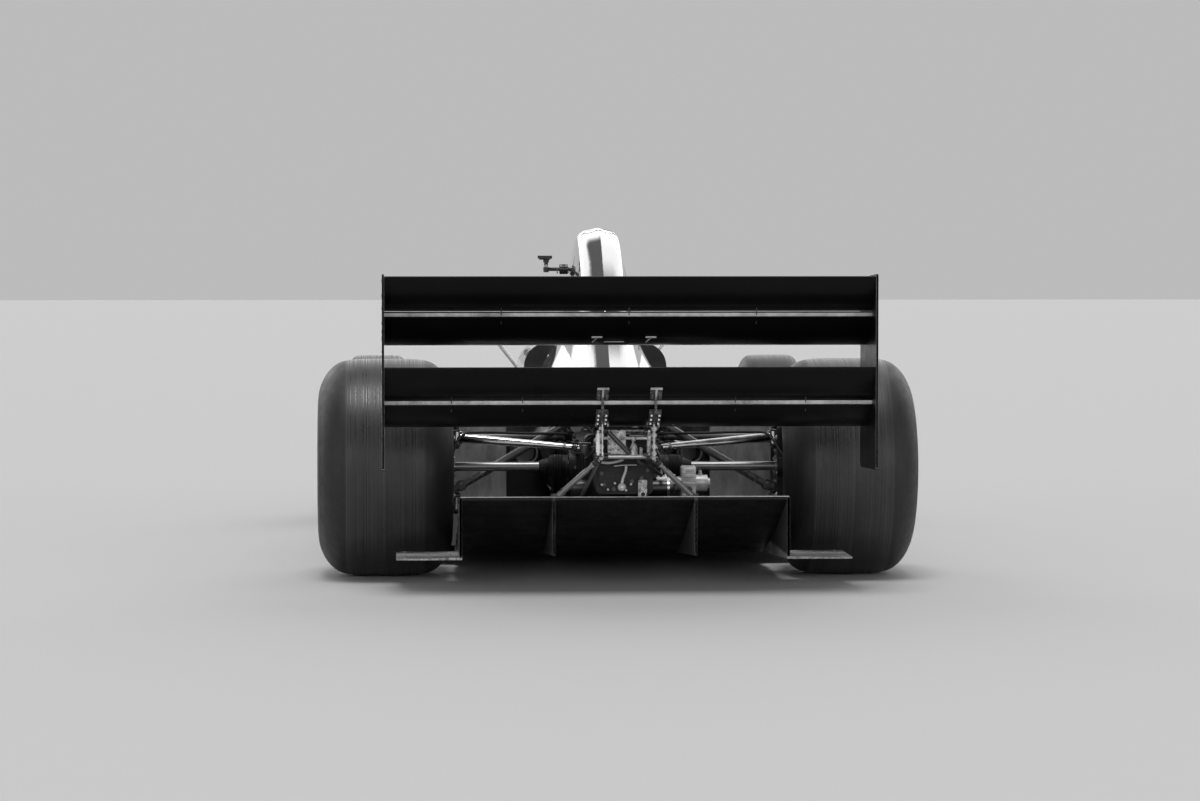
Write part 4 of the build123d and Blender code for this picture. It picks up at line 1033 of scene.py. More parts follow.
# Outlines of the tyres as (distance from the middle plane, radius), from the bead to the crown
TYRE_SIDES = {
    "rear": (
        (0.178, 0.181),
        (0.198, 0.186),
        (0.1998, 0.198),
        (0.194, 0.236),
        (0.176, 0.275),
        (0.15, 0.303),
        (0.118, 0.317),
        (0.06, 0.3225),
    ),
    "front": (
        (0.117, 0.181),
        (0.1305, 0.186),
        (0.1323, 0.198),
        (0.1224, 0.2246),
        (0.103, 0.2605),
        (0.0905, 0.281),
        (0.072, 0.291),
        (0.029, 0.2925),
    ),
}
RIM_RADIUS = 0.165
# Distance out from a wheel's middle plane to where it seats on its hub
WHEEL_SEAT = {"rear": 0.045, "front": 0.037}


def tyre_outline(axle):
    """The closed outline of a tyre: smooth from bead to bead, with three fine grooves on each wall."""
    corners = TYRE_SIDES[axle]
    points = [Vector((x, r, 0)) for x, r in corners]
    half = [(p.x, p.y) for p in smooth_path([*points, Vector((-points[-1].x, points[-1].y, 0))], 6)]
    widest, crown = max(x for x, _ in corners), max(r for _, r in corners)
    half = [(min(x, widest), min(r, crown)) for x, r in half if x > -1e-6]
    for groove in (0.194, 0.214, 0.244):
        for k in range(len(half) - 1):
            (x0, r0), (x1, r1) = half[k], half[k + 1]
            if r0 < groove <= r1:
                share = (groove - r0) / (r1 - r0)
                x, width, depth = x0 + (x1 - x0) * share, 0.0008, 0.0009
                cut = [(x, groove - width), (x - depth, groove - width / 2), (x - depth, groove + width / 2)]
                half[k + 1 : k + 1] = [*cut, (x, groove + width)]
                break
    bead = corners[0][0]
    right = [(-x, r) for x, r in reversed(half)]
    return [(bead, RIM_RADIUS), *half, *right, (-bead, RIM_RADIUS)]


class AddTyres(bpy.types.Operator):
    """Turn the four slick tyres with rounded shoulders and grooved walls"""

    bl_idname = "car.add_tyres"
    bl_label = "Tyres"

    def execute(self, context):
        for axle, label, body, centre, _ in wheel_list():
            shape = Shape(f"tyre_{label}")
            shape.turned(centre, X, tyre_outline(axle), context.scene.car_wheels.turn_steps, closed=True)
            shape.done(f"slick_{label}", body, [f"tyre_{label}"], "tyre", 50.0)
        return {"FINISHED"}


class AddWheelFittings(bpy.types.Operator):
    """Add the rims' flanges, lips, bolts, valves and weights, the nuts' teeth, and the discs' vents and holes"""

    bl_idname = "car.add_wheel_fittings"
    bl_label = "Wheel and disc fittings"

    def execute(self, context):
        w = context.scene.car_wheels
        for axle, label, body, centre, out in wheel_list():
            seat, bead = WHEEL_SEAT[axle], TYRE_SIDES[axle][0][0]
            disc_out, disc_in = seat - 0.032, seat - 0.052
            stand = centre + out * seat
            shape = Shape("rim")
            shape.ring(centre, out, seat + 0.004, 0.138, 0.159, 0.006, 72)
            for edge in (-bead - 0.007, bead + 0.007):
                lip = [(edge + 0.0022 * math.cos(a), 0.1765 + 0.0022 * math.sin(a)) for a in (0, 1.57, 3.14, 4.71)]
                shape.turned(centre, out, lip, 72, closed=True)
            shape.of("bolt_steel")
            valve = ((0.006, 0), (0.006, 0.0045), (0.03, 0.0038), (0.034, 0.0045), (0.042, 0.0045), (0.044, 0))
            shape.turned(stand + Z * 0.1535, out, valve, 10)
            for k in range(3):
                a = 2.3 + 0.19 * k
                radial = Z * math.sin(a) + Y * math.cos(a)
                place = centre + out * (bead - 0.03) + radial * 0.1562
                shape.block(place, (0.018, 0.024, 0.0042), 0.001, X, radial)
            shape.of("dark_steel")
            cap = ((0.03, 0.0), (0.03, 0.019), (0.0345, 0.019), (0.0345, 0.014), (0.0325, 0.013), (0.0325, 0.0))
            shape.turned(stand, out, cap, 24)
            pin = stand + out * 0.0345
            shape.of("arm_steel").bar(pin - Y * 0.018, pin + Y * 0.018, 0.0022, 8)
            shape.done(f"rim_trim_{label}", body)
            repeated(
                "studs", f"rim_bolts_{label}", body, "bolt_steel", [(stand + out * 0.0125, out)], Count=w.rim_bolts,
                Ring_radius=0.1485, Stud_radius=0.0046, Stud_height=0.005, Sides=6
            )
            repeated(
                "blocks", f"nut_teeth_{label}", body, "hub_steel", [(stand + out * 0.0265, out)], Count=12,
                Ring_radius=0.0255, Reach=0.006, Width=0.006, Height=0.012
            )
            faces = [(centre + out * disc_out, out), (centre + out * disc_in, -out)]
            # The drillings are flat black studs and the vents black blocks: painted shade for the dark holes and
            # slots
            for number, ring in enumerate((0.079, 0.098, 0.117)):
                repeated(
                    "studs", f"disc_drillings_{number + 1}_{label}", body, "rubber", faces, Count=w.drillings,
                    Ring_radius=ring, Stud_radius=0.0034, Stud_height=0.0006, Turn=0.11 * number, Sides=10
                )
            repeated(
                "blocks", f"disc_vents_{label}", body, "rubber", [(centre + out * (disc_out - 0.01), out)],
                Count=w.disc_vents, Ring_radius=0.1309, Reach=0.003, Width=0.0075, Height=0.009
            )
            repeated(
                "studs", f"disc_bolts_{label}", body, "bolt_steel",
                [(centre + out * (disc_out + 0.002), out), (centre + out * (disc_in - 0.002), -out)], Count=10,
                Ring_radius=0.06, Stud_radius=0.005, Stud_height=0.004, Sides=6
            )
        return {"FINISHED"}


def boot_outline(start, end, start_radius, end_radius, folds):
    """A bellows along an axis, with a plain cuff at each end."""
    cuff, deep = 0.01, 0.0032
    first, last = start + cuff, end - cuff
    outline = [(start, 0.0), (start, start_radius), (first, start_radius)]
    for k in range(folds * 6 + 1):
        share = k / (folds * 6)
        base = start_radius + (end_radius - start_radius) * share**9
        fold = deep * (1 - math.cos(2 * math.pi * folds * share)) / 2
        outline.append((first + (last - first) * share, base + fold))
    return [*outline, (last, end_radius), (end, end_radius), (end, 0.0)]


class AddDriveshaftBoots(bpy.types.Operator):
    """Add the rubber bellows at the inner ends of the driveshafts, with their clamps"""

    bl_idname = "car.add_driveshaft_boots"
    bl_label = "Driveshaft boots"

    def execute(self, context):
        for side, sign in SIDES:
            origin, axis = at(0, 0, REAR.z), X * sign
            shape = Shape("rubber")
            bellows = boot_outline(0.149, 0.21, 0.033, 0.0225, context.scene.car_wheels.boot_folds)
            sleeve = ((0, 0.0), (0, 0.0228), (0.01, 0.0205), (0.022, 0.016), (0.022, 0.0))
            shape.turned(origin, axis, bellows, 40).turned(origin + axis * 0.206, axis, sleeve, 40)
            shape.ring(origin, axis, 0.1415, 0.02, 0.0335, 0.0075, 40)
            shape.of("carbon_matt")
            for along, inner, outer in ((0.151, 0.032, 0.0346), (0.2035, 0.0215, 0.0242)):
                shape.ring(origin, axis, along, inner, outer, 0.005, 40)
                shape.block(origin + axis * (along + 0.0025) + Y * (outer + 0.001), (0.006, 0.004, 0.008), 0.0008)
            shape.done(f"driveshaft_boots_{side}", f"wheel_rear_{side}")
        return {"FINISHED"}


def screwed(name, finish, places, head, height, **other):
    """Screw heads on the chassis, of one of the car's kinds of fastener."""
    radius = getattr(bpy.context.scene.car_fasteners, head)
    repeated("screws", name, "chassis", finish, places, Head_radius=radius, Head_height=height, **other)


def hex_bolt(shape, place, axis, radius, height=0.006, washer=True):
    """A hexagon bolt head on its washer."""
    axis = axis.normalized()
    if washer:
        shape.disc(place, axis, radius * 1.45, 0.0015, 16)
    rim = height - 0.0012
    shape.turned(place, axis, ((0.001, 0), (0.001, radius), (rim, radius), (height, radius * 0.86), (height, 0)), 6)


def rod_end(shape, ball, along, pin, radius, shank=0.034):
    """A spherical rod end at ball, its shank along a direction and its pin square to it."""
    along = along.normalized()
    pin = (pin - along * pin.dot(along)).normalized()
    width, housing = radius * 1.15, radius * 1.55
    shape.of("bracket_alloy")
    eye = (
        (-0.62, housing * 0.78), (-0.5, housing), (0.5, housing), (0.62, housing * 0.78), (0.62, radius * 0.8),
        (-0.62, radius * 0.8)
    )
    shape.turned(ball, pin, [(width * share, r) for share, r in eye], 24, True)
    bearing = ((-0.95, radius * 0.5), (-0.6, radius * 0.86), (0.6, radius * 0.86), (0.95, radius * 0.5))
    shape.of("arm_steel").turned(ball, pin, [(width * share, r) for share, r in bearing], 20)
    shape.bar(ball + along * housing * 0.9, ball + along * (housing + shank), radius * 0.74, 14)
    nut = housing + shank * 0.45
    shape.of("bolt_steel").ring(ball, along, nut, radius * 0.7, radius * 1.28, 0.008, 6)
    for way in (-1, 1):
        hex_bolt(shape.of("dark_steel"), ball + pin * way * width * 1.75, pin * way, radius * 0.8, 0.005)
    shape.bar(ball - pin * width * 1.75, ball + pin * width * 1.75, radius * 0.42, 10)


def clevis(shape, ball, toward, pin, radius, reach):
    """Two lugs each side of a rod end, back to what carries it."""
    toward = toward.normalized()
    pin = (pin - toward * pin.dot(toward)).normalized()
    shape.of("bracket_alloy")
    for way in (-1, 1):
        centre = ball + pin * way * radius * 1.55 + toward * (reach - radius * 1.3) / 2
        shape.block(centre, (reach + radius * 1.3, radius * 2.4, radius * 0.55), 0.0015, toward, pin)


# Eyes on the rear upright, and its links: outer end, inner end, x of the inner joint and tube radius
EYES = through((0.474, -0.012, REAR.z + 0.087), (0.474, 0.0, REAR.z - 0.108))
REAR_LINKS = (
    (EYES[0], at(0.086, -0.12, REAR.z + 0.059), 0.122, 0.0095),
    (EYES[0], at(0.095, 0.25, REAR.z + 0.075), 0.142, 0.01),
    (EYES[1], at(0.086, -0.13, 0.226), 0.116, 0.01),
    (EYES[1], at(0.086, 0.24, 0.198), 0.14, 0.01),
)
PUSHROD = (at(0.488, 0.042, REAR.z - 0.076), at(0.112, 0.042, 0.467))


def along_x(start, end, x):
    """The point of a line where it passes x."""
    return start + (end - start) * ((x - start.x) / (end.x - start.x))


class AddRearLinks(bpy.types.Operator):
    """Add rod ends, lugs, bolts and lock nuts to the rear arms, and the spring dampers with their rockers"""

    bl_idname = "car.add_rear_links"
    bl_label = "Rear arm joints and dampers"

    def execute(self, context):
        shape = Shape("bracket_alloy")
        for outer, inner, joint_x, radius in REAR_LINKS:
            ball = along_x(outer, inner, joint_x)
            rod_end(shape, ball, outer - inner, Z, radius)
            clevis(shape, ball, inner - outer, Z, radius, 0.036)
        for eye in EYES:
            for way in (-1, 1):
                shape.of("bracket_alloy").block(eye + Z * way * 0.0215 + X * 0.004, (0.03, 0.04, 0.006), 0.002)
                hex_bolt(shape.of("dark_steel"), eye + Z * way * 0.0245, Z * way, 0.0095, 0.008)
        low, high = PUSHROD
        rod_end(shape, along_x(low, high, 0.458), high - low, Y, 0.0105)
        rod_end(shape, along_x(low, high, 0.136), low - high, Y, 0.0105, 0.026)
        middle = along_x(low, high, 0.4)
        axis = (high - low).normalized()
        sleeve = ((0, 0.01), (0, 0.0145), (0.03, 0.0145), (0.034, 0.0125), (0.034, 0.01))
        shape.of("bolt_steel").turned(middle, axis, sleeve, 6, True)
        # Rocker plates with their pivot, and the damper behind each
        rocker = ((0.06, 0.404), (0.1, 0.398), (0.146, 0.452), (0.14, 0.466), (0.098, 0.5), (0.06, 0.5))
        for station, thick in ((0.02, 0.005), (0.064, -0.005)):
            shape.of("edge_alloy").prism(standing(rocker, station), Y * thick)
        hex_bolt(shape.of("dark_steel"), at(0.088, 0.015, 0.424), Y, 0.011, 0.008)
        head, tail = through((0.06, 0.006, 0.468), (0.06, -0.196, 0.452))
        along = (tail - head).normalized()
        run = (tail - head).length
        damper = (
            (0.01, 0), (0.01, 0.012), (0.026, 0.012), (0.028, 0.025), (0.033, 0.025), (0.034, 0.007), (0.09, 0.007),
            (0.092, 0.0155), (run - 0.052, 0.0165), (run - 0.05, 0.0255), (run - 0.043, 0.0255),
            (run - 0.042, 0.0165), (run - 0.012, 0.0165), (run - 0.01, 0)
        )
        shape.of("bracket_alloy").turned(head, along, damper, 28)
        rod_end(shape, head, along, X, 0.0085, 0.012)
        rod_end(shape, tail, -along, X, 0.0085, 0.012)
        shape.of("bracket_alloy")
        for way in (-1, 1):
            shape.block(at(0.06 + way * 0.0145, -0.196, 0.44), (0.006, 0.026, 0.046), 0.002)
            shape.block(at(0.06 + way * 0.0145, 0.006, 0.462), (0.006, 0.03, 0.026), 0.002)
        shape.flipped().done("rear_joints_and_dampers", "chassis")
        repeated(
            "coils", "damper_springs", "chassis", "arm_steel", both([(head + along * 0.033, along)]), Turns=7.5,
            Coil_radius=0.0215, Wire_radius=0.0032, Length=run - 0.084
        )
        return {"FINISHED"}


class AddUprightFittings(bpy.types.Operator):
    """Add caps, bolts and bleed screws to the calipers, and bolts to the rear uprights and the front knuckles"""

    bl_idname = "car.add_upright_fittings"
    bl_label = "Upright and caliper fittings"

    def execute(self, context):
        piston = ((0, 0), (0, 0.015), (0.002, 0.0155), (0.003, 0.013), (0.003, 0))
        bleed = ((0, 0), (0, 0.004), (0.008, 0.004), (0.009, 0.0025), (0.014, 0.0025), (0.014, 0))
        axles = (("rear", REAR, 0.482, 0.049), ("front", FRONT, KINGPIN.x - 0.034, 0.045))
        for axle, centre, plate_x, ring in axles:
            disc_in = centre.x + WHEEL_SEAT[axle] - 0.052
            outer_x = disc_in - 0.006
            mid_x = (outer_x - 0.022 + disc_in + 0.042) / 2
            for side, sign in SIDES:
                body = "chassis" if axle == "rear" else f"knuckle_{side}"
                flip = Matrix.Scale(sign, 3, X)
                shape = Shape("bolt_steel")
                for x in (outer_x - 0.022, disc_in + 0.042):
                    way = -1 if x < disc_in else 1
                    for dz in (-0.018, 0.018):
                        place = flip @ Vector((x, centre.y + 0.117, centre.z + dz))
                        shape.of("bracket_alloy").turned(place, X * way * sign, piston, 24)
                shape.of("bolt_steel")
                for dz in (-0.026, 0.026):
                    hex_bolt(shape, flip @ Vector((mid_x, centre.y + 0.144, centre.z + dz)), Y, 0.0055)
                shape.turned(flip @ Vector((outer_x - 0.01, centre.y + 0.125, centre.z + 0.035)), Z, bleed, 8)
                if axle == "rear":
                    for dy, dz in ((-0.03, 0.085), (0.03, 0.085), (-0.03, -0.085), (0.03, -0.085)):
                        place = Vector((plate_x, centre.y + dy, centre.z + dz))
                        hex_bolt(shape, flip @ place, X * -sign, 0.0062, 0.005)
                for k in range(8):
                    a = math.pi * (k + 0.5) / 4
                    place = Vector((plate_x, centre.y + ring * math.cos(a), centre.z + ring * math.sin(a)))
                    hex_bolt(shape, flip @ place, X * -sign, 0.0045, 0.004, False)
                shape.done(f"{axle}_caliper_trim_{side}", body)
        return {"FINISHED"}


# Station of the gearbox's rear face
GEARBOX_TAIL = -0.47


class AddGearboxFittings(bpy.types.Operator):
    """Add covers, flanges, bolts, pipes and fittings to the gearbox"""

    bl_idname = "car.add_gearbox_fittings"
    bl_label = "Gearbox fittings"

    def execute(self, context):
        shape = Shape("gearbox_cast")
        corners = (
            (0.074, 0.416, 0.012), (0.074, 0.3, 0.012), (0.052, 0.276, 0.012), (-0.02, 0.276, 0.012),
            (-0.03, 0.312, 0.01), (-0.074, 0.312, 0.012), (-0.074, 0.416, 0.012)
        )
        cover = rounded(corners)
        shape.prism(standing(cover, GEARBOX_TAIL), Y * 0.006)
        # Flanges as station, half width, low and high edge, and how far they stand out
        flanges = (
            (0.15, 0.098, 0.187, 0.425, 0.01), (-0.285, 0.098, 0.212, 0.425, 0.007),
            (0.44, 0.163, 0.112, 0.438, 0.01)
        )
        for station, half, low, high, grow in flanges:
            inner = oblong(half, high, -half, low, 0.02)
            outer = oblong(half + grow, high + grow, -half - grow, low - grow, 0.025)
            ahead, behind = station + 0.005, station - 0.005
            turns = ((outer, ahead), (outer, behind), (inner, behind), (inner, ahead))
            shape.skin([standing(*turn) for turn in turns], closed=True)
        filler = ((0, 0), (0, 0.022), (0.012, 0.022), (0.012, 0.018), (0.018, 0.018), (0.019, 0))
        breather = ((0, 0), (0, 0.013), (0.01, 0.013), (0.01, 0.01), (0.026, 0.01), (0.028, 0))
        shape.turned(at(0.03, 0.08, 0.424), Z, filler, 24).turned(at(-0.045, -0.24, 0.424), Z, breather, 18)
        for way in (-1, 1):
            shape.ring(at(0, 0, REAR.z), X * way, 0.116, 0.052, 0.102, 0.004, 64)
        # The plug on the tail, and what is fitted below and beside it
        plug_sides = ((0, 0), (0, 0.015), (0.01, 0.015), (0.012, 0.011), (0.02, 0.011), (0.02, 0))
        shape.of("bracket_alloy").turned(at(-0.048, GEARBOX_TAIL - 0.006, 0.366), Y, plug_sides, 24)
        self.add_tail_fittings(shape)
        shape.done("gearbox_covers", "chassis")
        bolts = [(place, Y) for place in standing(spread(cover, 14, 0.008), GEARBOX_TAIL - 0.006)]
        for k in (1, 0, 2):
            station, half, low, high, _ = flanges[k]
            loop = oblong(half + 0.004, high + 0.004, -half - 0.004, low - 0.004, 0.02)
            bolts += [(place, Y) for place in standing(spread(loop, 18, 0.0), station - 0.005)]
        screwed("gearbox_bolts", "dark_steel", [(p + d * 0.002, d) for p, d in bolts], "bolt", 0.006, Sides=8)
        hubs = [(at(way * 0.1215, 0, REAR.z), X * way) for way in (-1, 1)]
        repeated(
            "studs", "side_cover_bolts", "chassis", "dark_steel", hubs, Count=12, Ring_radius=0.091,
            Stud_radius=0.0055, Stud_height=0.005, Sides=6
        )
        return {"FINISHED"}

    def add_tail_fittings(self, shape):
        """The banjo union with its pipe, the starter lug plate, the starter and the oil fittings on the tail."""
        tail = GEARBOX_TAIL
        ball = at(0.009, tail - 0.02, 0.29)
        union = (
            (-0.024, 0), (-0.024, 0.0075), (-0.009, 0.0075), (-0.008, 0.0105), (0.004, 0.0118), (0.009, 0.0085),
            (0.01, 0)
        )
        head = ((0.009, 0), (0.009, 0.0058), (0.014, 0.0058), (0.015, 0.0045), (0.015, 0))
        shape.of("light_alloy").turned(ball, Y, union, 24).of("bright_edge").turned(ball, Y, head, 6)
        rise = ((0.009, 0), (0.026, 0.004), (0.045, 0.011), (0.06, 0.013))
        pipe = smooth_path([ball + Z * up - X * aside for up, aside in rise], 5)
        shape.of("light_alloy").swept(pipe, 0.004)
        bent = through(
            (0.076, tail - 0.03, 0.3635), (0.05, tail - 0.034, 0.36), (0.024, tail - 0.034, 0.364),
            (0.006, tail - 0.03, 0.369)
        )
        shape.swept(smooth_path(bent, 5), 0.0044)
        thin = through((0.032, tail - 0.026, 0.35), (0.002, tail - 0.03, 0.353), (-0.034, tail - 0.024, 0.353))
        shape.swept(smooth_path(thin, 5), 0.0018)
        # Starter lug plate with its hole, shown as a black disc of painted shade in a bright ring
        shape.of("mottled_alloy")
        plate = oblong(-0.0385, 0.3095, -0.064, 0.258, 0.003, 3)
        shape.prism(standing(plate, tail - 0.012), Y * 0.003)
        hole = at(-0.0525, tail - 0.014, 0.2685)
        shape.of("rubber").disc(hole, Y, 0.0062, 0.0016, 20)
        shape.of("bright_edge").ring(hole, Y, 0.0, 0.0062, 0.008, 0.0026, 24)
        # Starter motor beside the case, black with a bright end ring
        shape.of("dark_steel").bar(at(-0.08, -0.3, 0.274), at(-0.134, -0.3, 0.274), 0.0235, 32)
        shape.of("bright_edge").ring(at(-0.134, -0.3, 0.274), -X, 0.0, 0.018, 0.024, 0.007, 32)
        shape.of("bracket_alloy").bar(at(-0.0965, -0.285, 0.3), at(-0.0965, -0.27, 0.33), 0.008)
        # Oil filter and catch pot on the left of the case
        oil = ((0, 0), (0, 0.0225), (0.004, 0.024), (0.044, 0.024), (0.05, 0.0205), (0.052, 0.0))
        pot = ((0, 0), (0, 0.015), (0.002, 0.0165), (0.03, 0.0165), (0.032, 0.015), (0.032, 0))
        foot = at(0.111, -0.44, 0.383)
        shape.of("bracket_alloy").turned(at(0.094, -0.3, 0.2755), X, oil, 32).turned(foot, Z, pot, 28)
        shape.of("edge_alloy").ring(foot, Z, 0.024, 0.015, 0.0172, 0.0022, 28)
        shape.of("bracket_alloy").block(at(0.0905, -0.43, 0.398), (0.02, 0.016, 0.01), 0.002)
        for x, z in ((0.028, 0.3), (-0.018, 0.297), (-0.004, 0.2795), (0.048, 0.282), (0.066, 0.296)):
            hex_bolt(shape.of("light_alloy"), at(x, tail - 0.006, z), Y, 0.0038, 0.006, False)


def rounded(corners, steps=5):
    """A flat loop of (x, z) points from corners with a radius each."""
    loop = []
    total = len(corners)
    for k, (x, z, radius) in enumerate(corners):
        here = Vector((x, z))
        back = Vector(corners[k - 1][:2]) - here
        on = Vector(corners[(k + 1) % total][:2]) - here
        if radius <= 0:
            loop.append((x, z))
            continue
        half = back.angle(on) / 2
        cut = min(radius / math.tan(half), back.length * 0.49, on.length * 0.49)
        start, end = here + back.normalized() * cut, here + on.normalized() * cut
        for i in range(steps + 1):
            t = i / steps
            p = start * (1 - t) ** 2 + here * 2 * t * (1 - t) + end * t**2
            loop.append((p.x, p.y))
    return loop


def oblong(x, z, far_x, far_z, radius, steps=5):
    """The flat loop of a rounded rectangle, from one corner to the opposite one."""
    corners = ((x, z), (x, far_z), (far_x, far_z), (far_x, z))
    return rounded([(*corner, radius) for corner in corners], steps)


def spread(loop, number, inset):
    """Points evenly round a flat loop, moved towards its middle by inset."""
    points = [Vector(p) for p in loop]
    middle = sum(points, Vector((0, 0))) / len(points)
    lengths = [(points[(k + 1) % len(points)] - p).length for k, p in enumerate(points)]
    whole, made = sum(lengths), []
    for n in range(number):
        left = whole * (n + 0.5) / number
        for k, length in enumerate(lengths):
            if left <= length:
                p = points[k].lerp(points[(k + 1) % len(points)], left / length)
                made.append(tuple(p + (middle - p).normalized() * inset))
                break
            left -= length
    return made


class AddShiftActuator(bpy.types.Operator):
    """Add the shift actuator's fins, end caps and unions, and the pipes and hoses round the gearbox"""

    bl_idname = "car.add_shift_actuator"
    bl_label = "Shift actuator and hoses"

    def execute(self, context):
        shape = Shape("light_alloy")
        station = -0.235
        for z in (0.262, 0.285, 0.308, 0.326):
            shape.block(at(-0.201, station - 0.0315, z), (0.036, 0.005, 0.009), 0.0015)
        shape.of("dark_steel").disc(at(-0.201, station - 0.03, 0.268), Y, 0.01, 0.007, 6)
        shape.of("bolt_steel")
        for x, z in ((-0.187, 0.252), (-0.215, 0.252), (-0.187, 0.322), (-0.215, 0.322)):
            hex_bolt(shape, at(x, station - 0.03, z), Y, 0.0042, 0.005)
        shape.of("arm_steel").ring(at(-0.098, station, 0.285), -X, 0.004, 0.02, 0.0262, 0.006, 32)
        shape.ring(at(-0.098, station, 0.285), -X, 0.06, 0.02, 0.0262, 0.005, 32)
        union = ((0, 0), (0, 0.0075), (0.008, 0.0075), (0.008, 0.0055), (0.018, 0.0055), (0.018, 0))
        for x, z in ((-0.12, 0.311), (-0.236, 0.305)):
            shape.of("bolt_steel").turned(at(x, station, z), Z, union, 6)
        shape.done("shift_actuator_trim", "chassis")
        repeated(
            "slats", "actuator_fins", "chassis", "light_alloy", [(at(-0.184, station, 0.3345), -X)], Count=7,
            Pitch=0.0055, Across=0.002, Depth=0.044, Height=0.004
        )
        pressure = (
            (-0.12, station, 0.327), (-0.12, station - 0.01, 0.352), (-0.112, station + 0.04, 0.375),
            (-0.097, 0.02, 0.392)
        )
        breather = (
            (0.06, -0.474, 0.404), (0.068, -0.5, 0.404), (0.09, -0.49, 0.392), (0.104, -0.44, 0.372),
            (0.099, -0.26, 0.36)
        )
        drain = (
            (-0.048, -0.494, 0.366), (-0.05, -0.512, 0.366), (-0.07, -0.52, 0.35), (-0.092, -0.49, 0.332),
            (-0.11, -0.4, 0.318), (-0.118, -0.262, 0.312)
        )
        hoses = [through(*places) for places in (pressure, breather, drain)]
        drawn("hoses", "gearbox_hoses", "chassis", "rubber", hoses, Radius=0.0052)
        brake = through(
            (0.098, 0.03, 0.405), (0.14, 0.03, 0.418), (0.26, 0.02, 0.42), (0.4, 0.0, 0.424), (0.455, -0.03, 0.418),
            (0.486, -0.075, 0.372), (0.5, -0.1, 0.352)
        )
        drawn("hoses", "rear_brake_hoses", "chassis", "rubber", both_paths([brake]), Radius=0.0042)
        return {"FINISHED"}


# Wing elements as leading station and z, trailing station and z, and camber
WING = {
    "upper_main": (-0.42, 0.719, -0.69, 0.781, 0.032),
    "upper_flap": (-0.652, 0.8, -0.767, 0.895, 0.013),
    "lower_main": (-0.42, 0.495, -0.69, 0.533, 0.032),
    "lower_flap": (-0.652, 0.55, -0.767, 0.641, 0.013),
    "front_main": (3.488, 0.118, 3.215, 0.136, 0.016),
    "front_flap": (3.238, 0.158, 3.06, 0.228, 0.014),
}
WING_HALF = 0.689
ENDPLATE_FACE = 0.6952
PILLAR_X = 0.075
CROSS_TUBES = -0.592
PULL_RODS = -0.632


def chord(element):
    """The run of a wing element's chord, and the direction square to it."""
    lead, lead_z, trail, trail_z, _ = WING[element]
    along = Vector((0, lead - trail, trail_z - lead_z))
    return along, Vector((0, -along.z, along.y)).normalized()


def on_chord(element, x, share, above):
    """A point of a wing element at x, a share along its chord and above or below its chord line."""
    along, up = chord(element)
    return at(x, *WING[element][:2]) + along * share + up * above


def end_screws(element, number, x, margin, off):
    """Places of screws through an endplate into a wing element, off its chord by a share of its camber."""
    places = []
    for k in range(number):
        share = margin + (1 - 2 * margin) * k / (number - 1)
        camber = WING[element][4] * 4 * share * (1 - share)
        places.append((on_chord(element, x, share, -off * camber), X))
    return places


